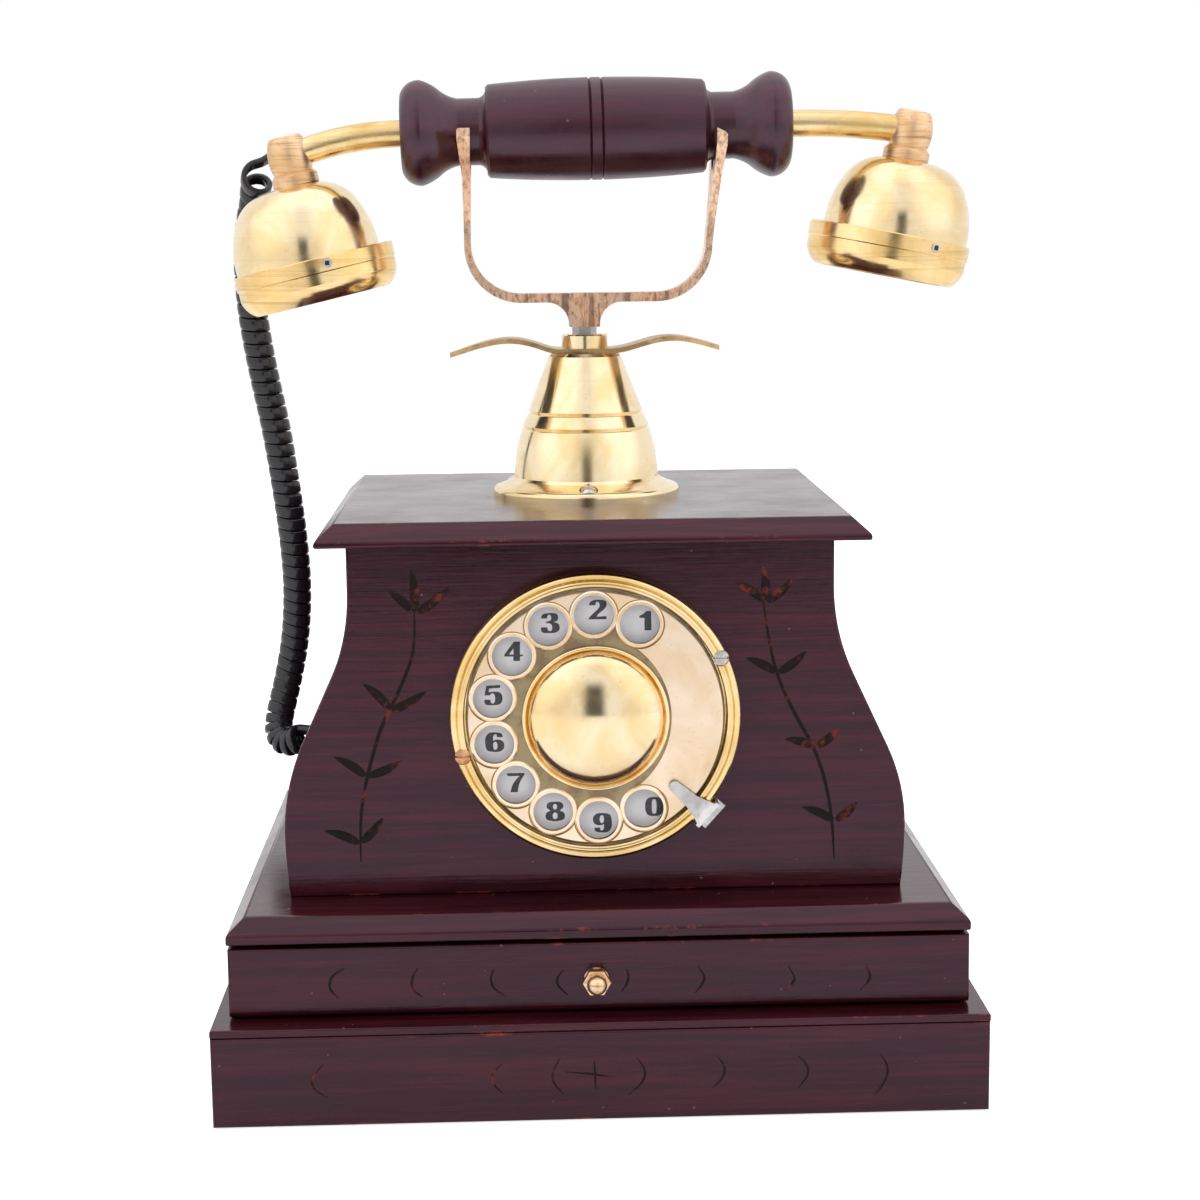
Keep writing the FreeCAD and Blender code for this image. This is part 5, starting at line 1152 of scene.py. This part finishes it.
domeValues = {
    "radius": 19.9,
    "height": 8.4,
    "seat": 0.3,  # it stands this far in front of its ring's back
    "ringRadius": 21.5,
    "bead": 0.62,
    "beadSteps": 8,
    "steps": 16,
}


def domeOutline(values, back):
    radius, ringRadius, bead = values["radius"], values["ringRadius"], values["bead"]
    crest = back - (ringRadius - radius) * 0.5 * mm
    spots = [(ringRadius, back)]
    for k in range(values["beadSteps"] + 1):
        angle = math.pi * k / values["beadSteps"]
        spots.append((ringRadius - bead + bead * math.cos(angle), crest - bead * math.sin(angle) * mm))
    for k in range(values["steps"] + 1):
        angle = math.radians(90) * k / values["steps"]
        depth = values["seat"] + values["height"] * math.sin(angle)
        spots.append((radius * math.cos(angle), back - depth * mm))
    return spots


def makeDome(values):
    shape = bmesh.new()
    spots = domeOutline(values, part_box("dial_dome")[1].y)
    line = [shape.verts.new((radius * mm, y, 0)) for radius, y in spots]
    edges = [shape.edges.new(pair) for pair in zip(line, line[1:])]
    bmesh.ops.spin(shape, geom=line + edges, cent=(0, 0, 0), axis=(0, 1, 0), steps=128, angle=math.tau,
                   use_merge=True)
    closeShape(shape, 1e-6)
    bmesh.ops.translate(shape, verts=shape.verts, vec=(0, 0, dialHeight))
    softShading(shape, 40)
    dome = newPiece("domeShell", shape, brass["dome"], None, ["dial_dome"])
    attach(dome, "dial_wheel")


makeDome(domeValues)
print("dome made")


# Square sockets of the grub screws in the caps, drawn as thin near-black squares on the surface: painted shade
# standing in for the hollow sockets

socketValues = {
    "side": 1.35,
    "depth": 0.1,  # share of the side
    "lift": 0.03,
    "places": [((-77.693, -24.743, 244.291), (0.236, -0.97, 0.055)),
               ((106.591, -22.919, 246.552), (0.43, -0.899, -0.086))],
}


def makeSockets(values):
    shape = bmesh.new()
    flat = Matrix.Diagonal((1, 1, values["depth"], 1))
    for spot, facing in values["places"]:
        out = Vector(facing).normalized()
        turn = out.to_track_quat("Z", "X").to_matrix().to_4x4()
        where = Matrix.Translation(Vector(spot) * mm + out * values["lift"] * mm) @ turn
        bmesh.ops.create_cube(shape, size=values["side"] * mm, matrix=where @ flat)
    piece = newPiece("screwSocketShades", shape, paintedSocketShade, None)
    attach(piece, "handset")


makeSockets(socketValues)
print("screw sockets made")


# Metal and inner nodes keep their CAD shape

finishes = [
    (brass["bell"], "pedestal_bell ear_bells wing_nut"),
    (brass["cap"], "ear_caps"),
    (wheelBrass, "finger_wheel"),
    (brass["dome"], "dial_dome"),
    (brass["rim"], "dial_bezel"),
    (brass["tube"], "handset_tubes"),
    (brass["turned"], "handset_elbows drawer_knob"),
    (brass["cast"], "cradle_fork"),
    (brass["plate"], "wing_plate"),
    (brass["gear"], "dial_frame main_gear governor_pinion governor_weights dial_shaft ringer_gongs"),
    (brightSteel, "base_screws knob_screw pedestal_screws plunger_rod lock_nut plunger_spring grub_screws"
                  " dial_mainspring switch_contacts impulse_contacts ringer_frame ringer_clapper"
                  " switch_bracket"),
    (stopSteel, "finger_stop"),
    (screwMetal, "bezel_screws"),
    (plateWhite, "number_plate"),
    (handleWood, "handle"),
    (plainWood, "drawer_sides drawer_back drawer_bottom case_cleats base_cover"),
    (mouldedBlack, "receiver_capsule transmitter_capsule line_socket cord_gland"),
    (copperWinding, "ringer_coils"),
    (boardLaminate, "circuit_board"),
]


def dressNodes():
    dressed = set()
    for material, names in finishes:
        for name in names.split():
            for place in nodes[name].material_slots:
                place.material = material
            dressed.add(name)
    return dressed


bare = sorted(set(nodes) - dressNodes() - set(boardValues) - {"curly_cord"})
print("nodes dressed, bare:", bare)


# Studio

studioValues = {
    "floorSize": 3.0,  # metres, as all of the studio's lengths
    "floorPlace": (0, 0.4, -0.0004),
    "floorTone": (0.70, 0.70, 0.70, 1),
    "floorRough": 0.9,
    "floorGlow": 0.75,  # only for the camera
    "tent": 0.97,
    "glow": 0.38,  # in front of each light box
    "glowZone": (0.70, 0.97),  # how nearly a direction faces the box
    "opening": 0.10,  # in front, where the camera stands
    "openingWidth": (0.07, 0.20),
    "openingHeight": (0.25, 0.50),
    "aim": (0, 0, 0.14),
    "lights": [  # name, place, size, watts
        ("left box", (-0.95, -0.55, 0.75), (0.8, 1.2), 5.0),
        ("right box", (1.0, -0.50, 0.70), (0.8, 1.2), 4.0),
        ("top box", (0.0, 0.1, 1.3), (1.2, 1.0), 6.0),
    ],
}


def makeFloor(values):
    shape = bmesh.new()
    bmesh.ops.create_grid(shape, x_segments=1, y_segments=1, size=values["floorSize"] / 2)
    bmesh.ops.translate(shape, verts=shape.verts, vec=values["floorPlace"])
    material, shader, place = newMaterial("studio white")
    seen = addNode(place, "ShaderNodeLightPath").outputs["Is Camera Ray"]
    shader["Base Color"].default_value = values["floorTone"]
    shader["Roughness"].default_value = values["floorRough"]
    shader["Emission Color"].default_value = (1, 1, 1, 1)
    setSocket(shader["Emission Strength"], times(seen, values["floorGlow"]))
    mesh = toMesh("studio floor", shape)
    mesh.materials.append(material)
    floor = addObject("studio-floor", mesh)


def makeLamps(values):
    for name, spot, size, power in values["lights"]:
        light = bpy.data.lights.new(name, "AREA")
        light.shape = "RECTANGLE"
        light.size, light.size_y = size
        light.energy = power
        lamp = addObject(name, light)
        lamp.visible_glossy = False
        aim = Vector(values["aim"]) - Vector(spot)
        lamp.matrix_world = Matrix.Translation(spot) @ aim.to_track_quat("-Z", "Y").to_matrix().to_4x4()


def makeTent(values):
    world = bpy.data.worlds.new("studio")
    bpy.context.scene.world = world
    world.use_nodes = True
    background = world.node_tree.nodes["Background"].inputs
    direction = addNode(world.node_tree, "ShaderNodeTexCoord").outputs["Generated"]
    aside, high = (reckon("ABSOLUTE", along(direction, axis)) for axis in "XZ")
    narrow = spread(aside, *values["openingWidth"], (1.0, 0.0), soft=True)
    short = spread(high, *values["openingHeight"], (1.0, 0.0), soft=True)
    ahead = reckon("LESS_THAN", along(direction, "Y"), 0.0)
    opening = times(times(narrow, short), ahead)
    tent = values["tent"]
    for name, spot, size, power in values["lights"]:
        toward = addNode(direction, "ShaderNodeVectorMath", {0: direction, 1: Vector(spot).normalized()},
                         operation="DOT_PRODUCT").outputs["Value"]
        tent = plus(tent, spread(toward, *values["glowZone"], (0.0, values["glow"]), soft=True))
    bright = times(tent, reckon("SUBTRACT", 1.0, opening))
    level = plus(bright, times(opening, values["opening"]))
    seen = addNode(direction, "ShaderNodeLightPath").outputs["Is Camera Ray"]
    setSocket(background["Strength"], reckon("MAXIMUM", level, seen))
    background["Color"].default_value = (1, 1, 1, 1)


makeFloor(studioValues)
makeLamps(studioValues)
makeTent(studioValues)
bpy.context.scene.view_settings.view_transform = "Standard"
print("studio made")
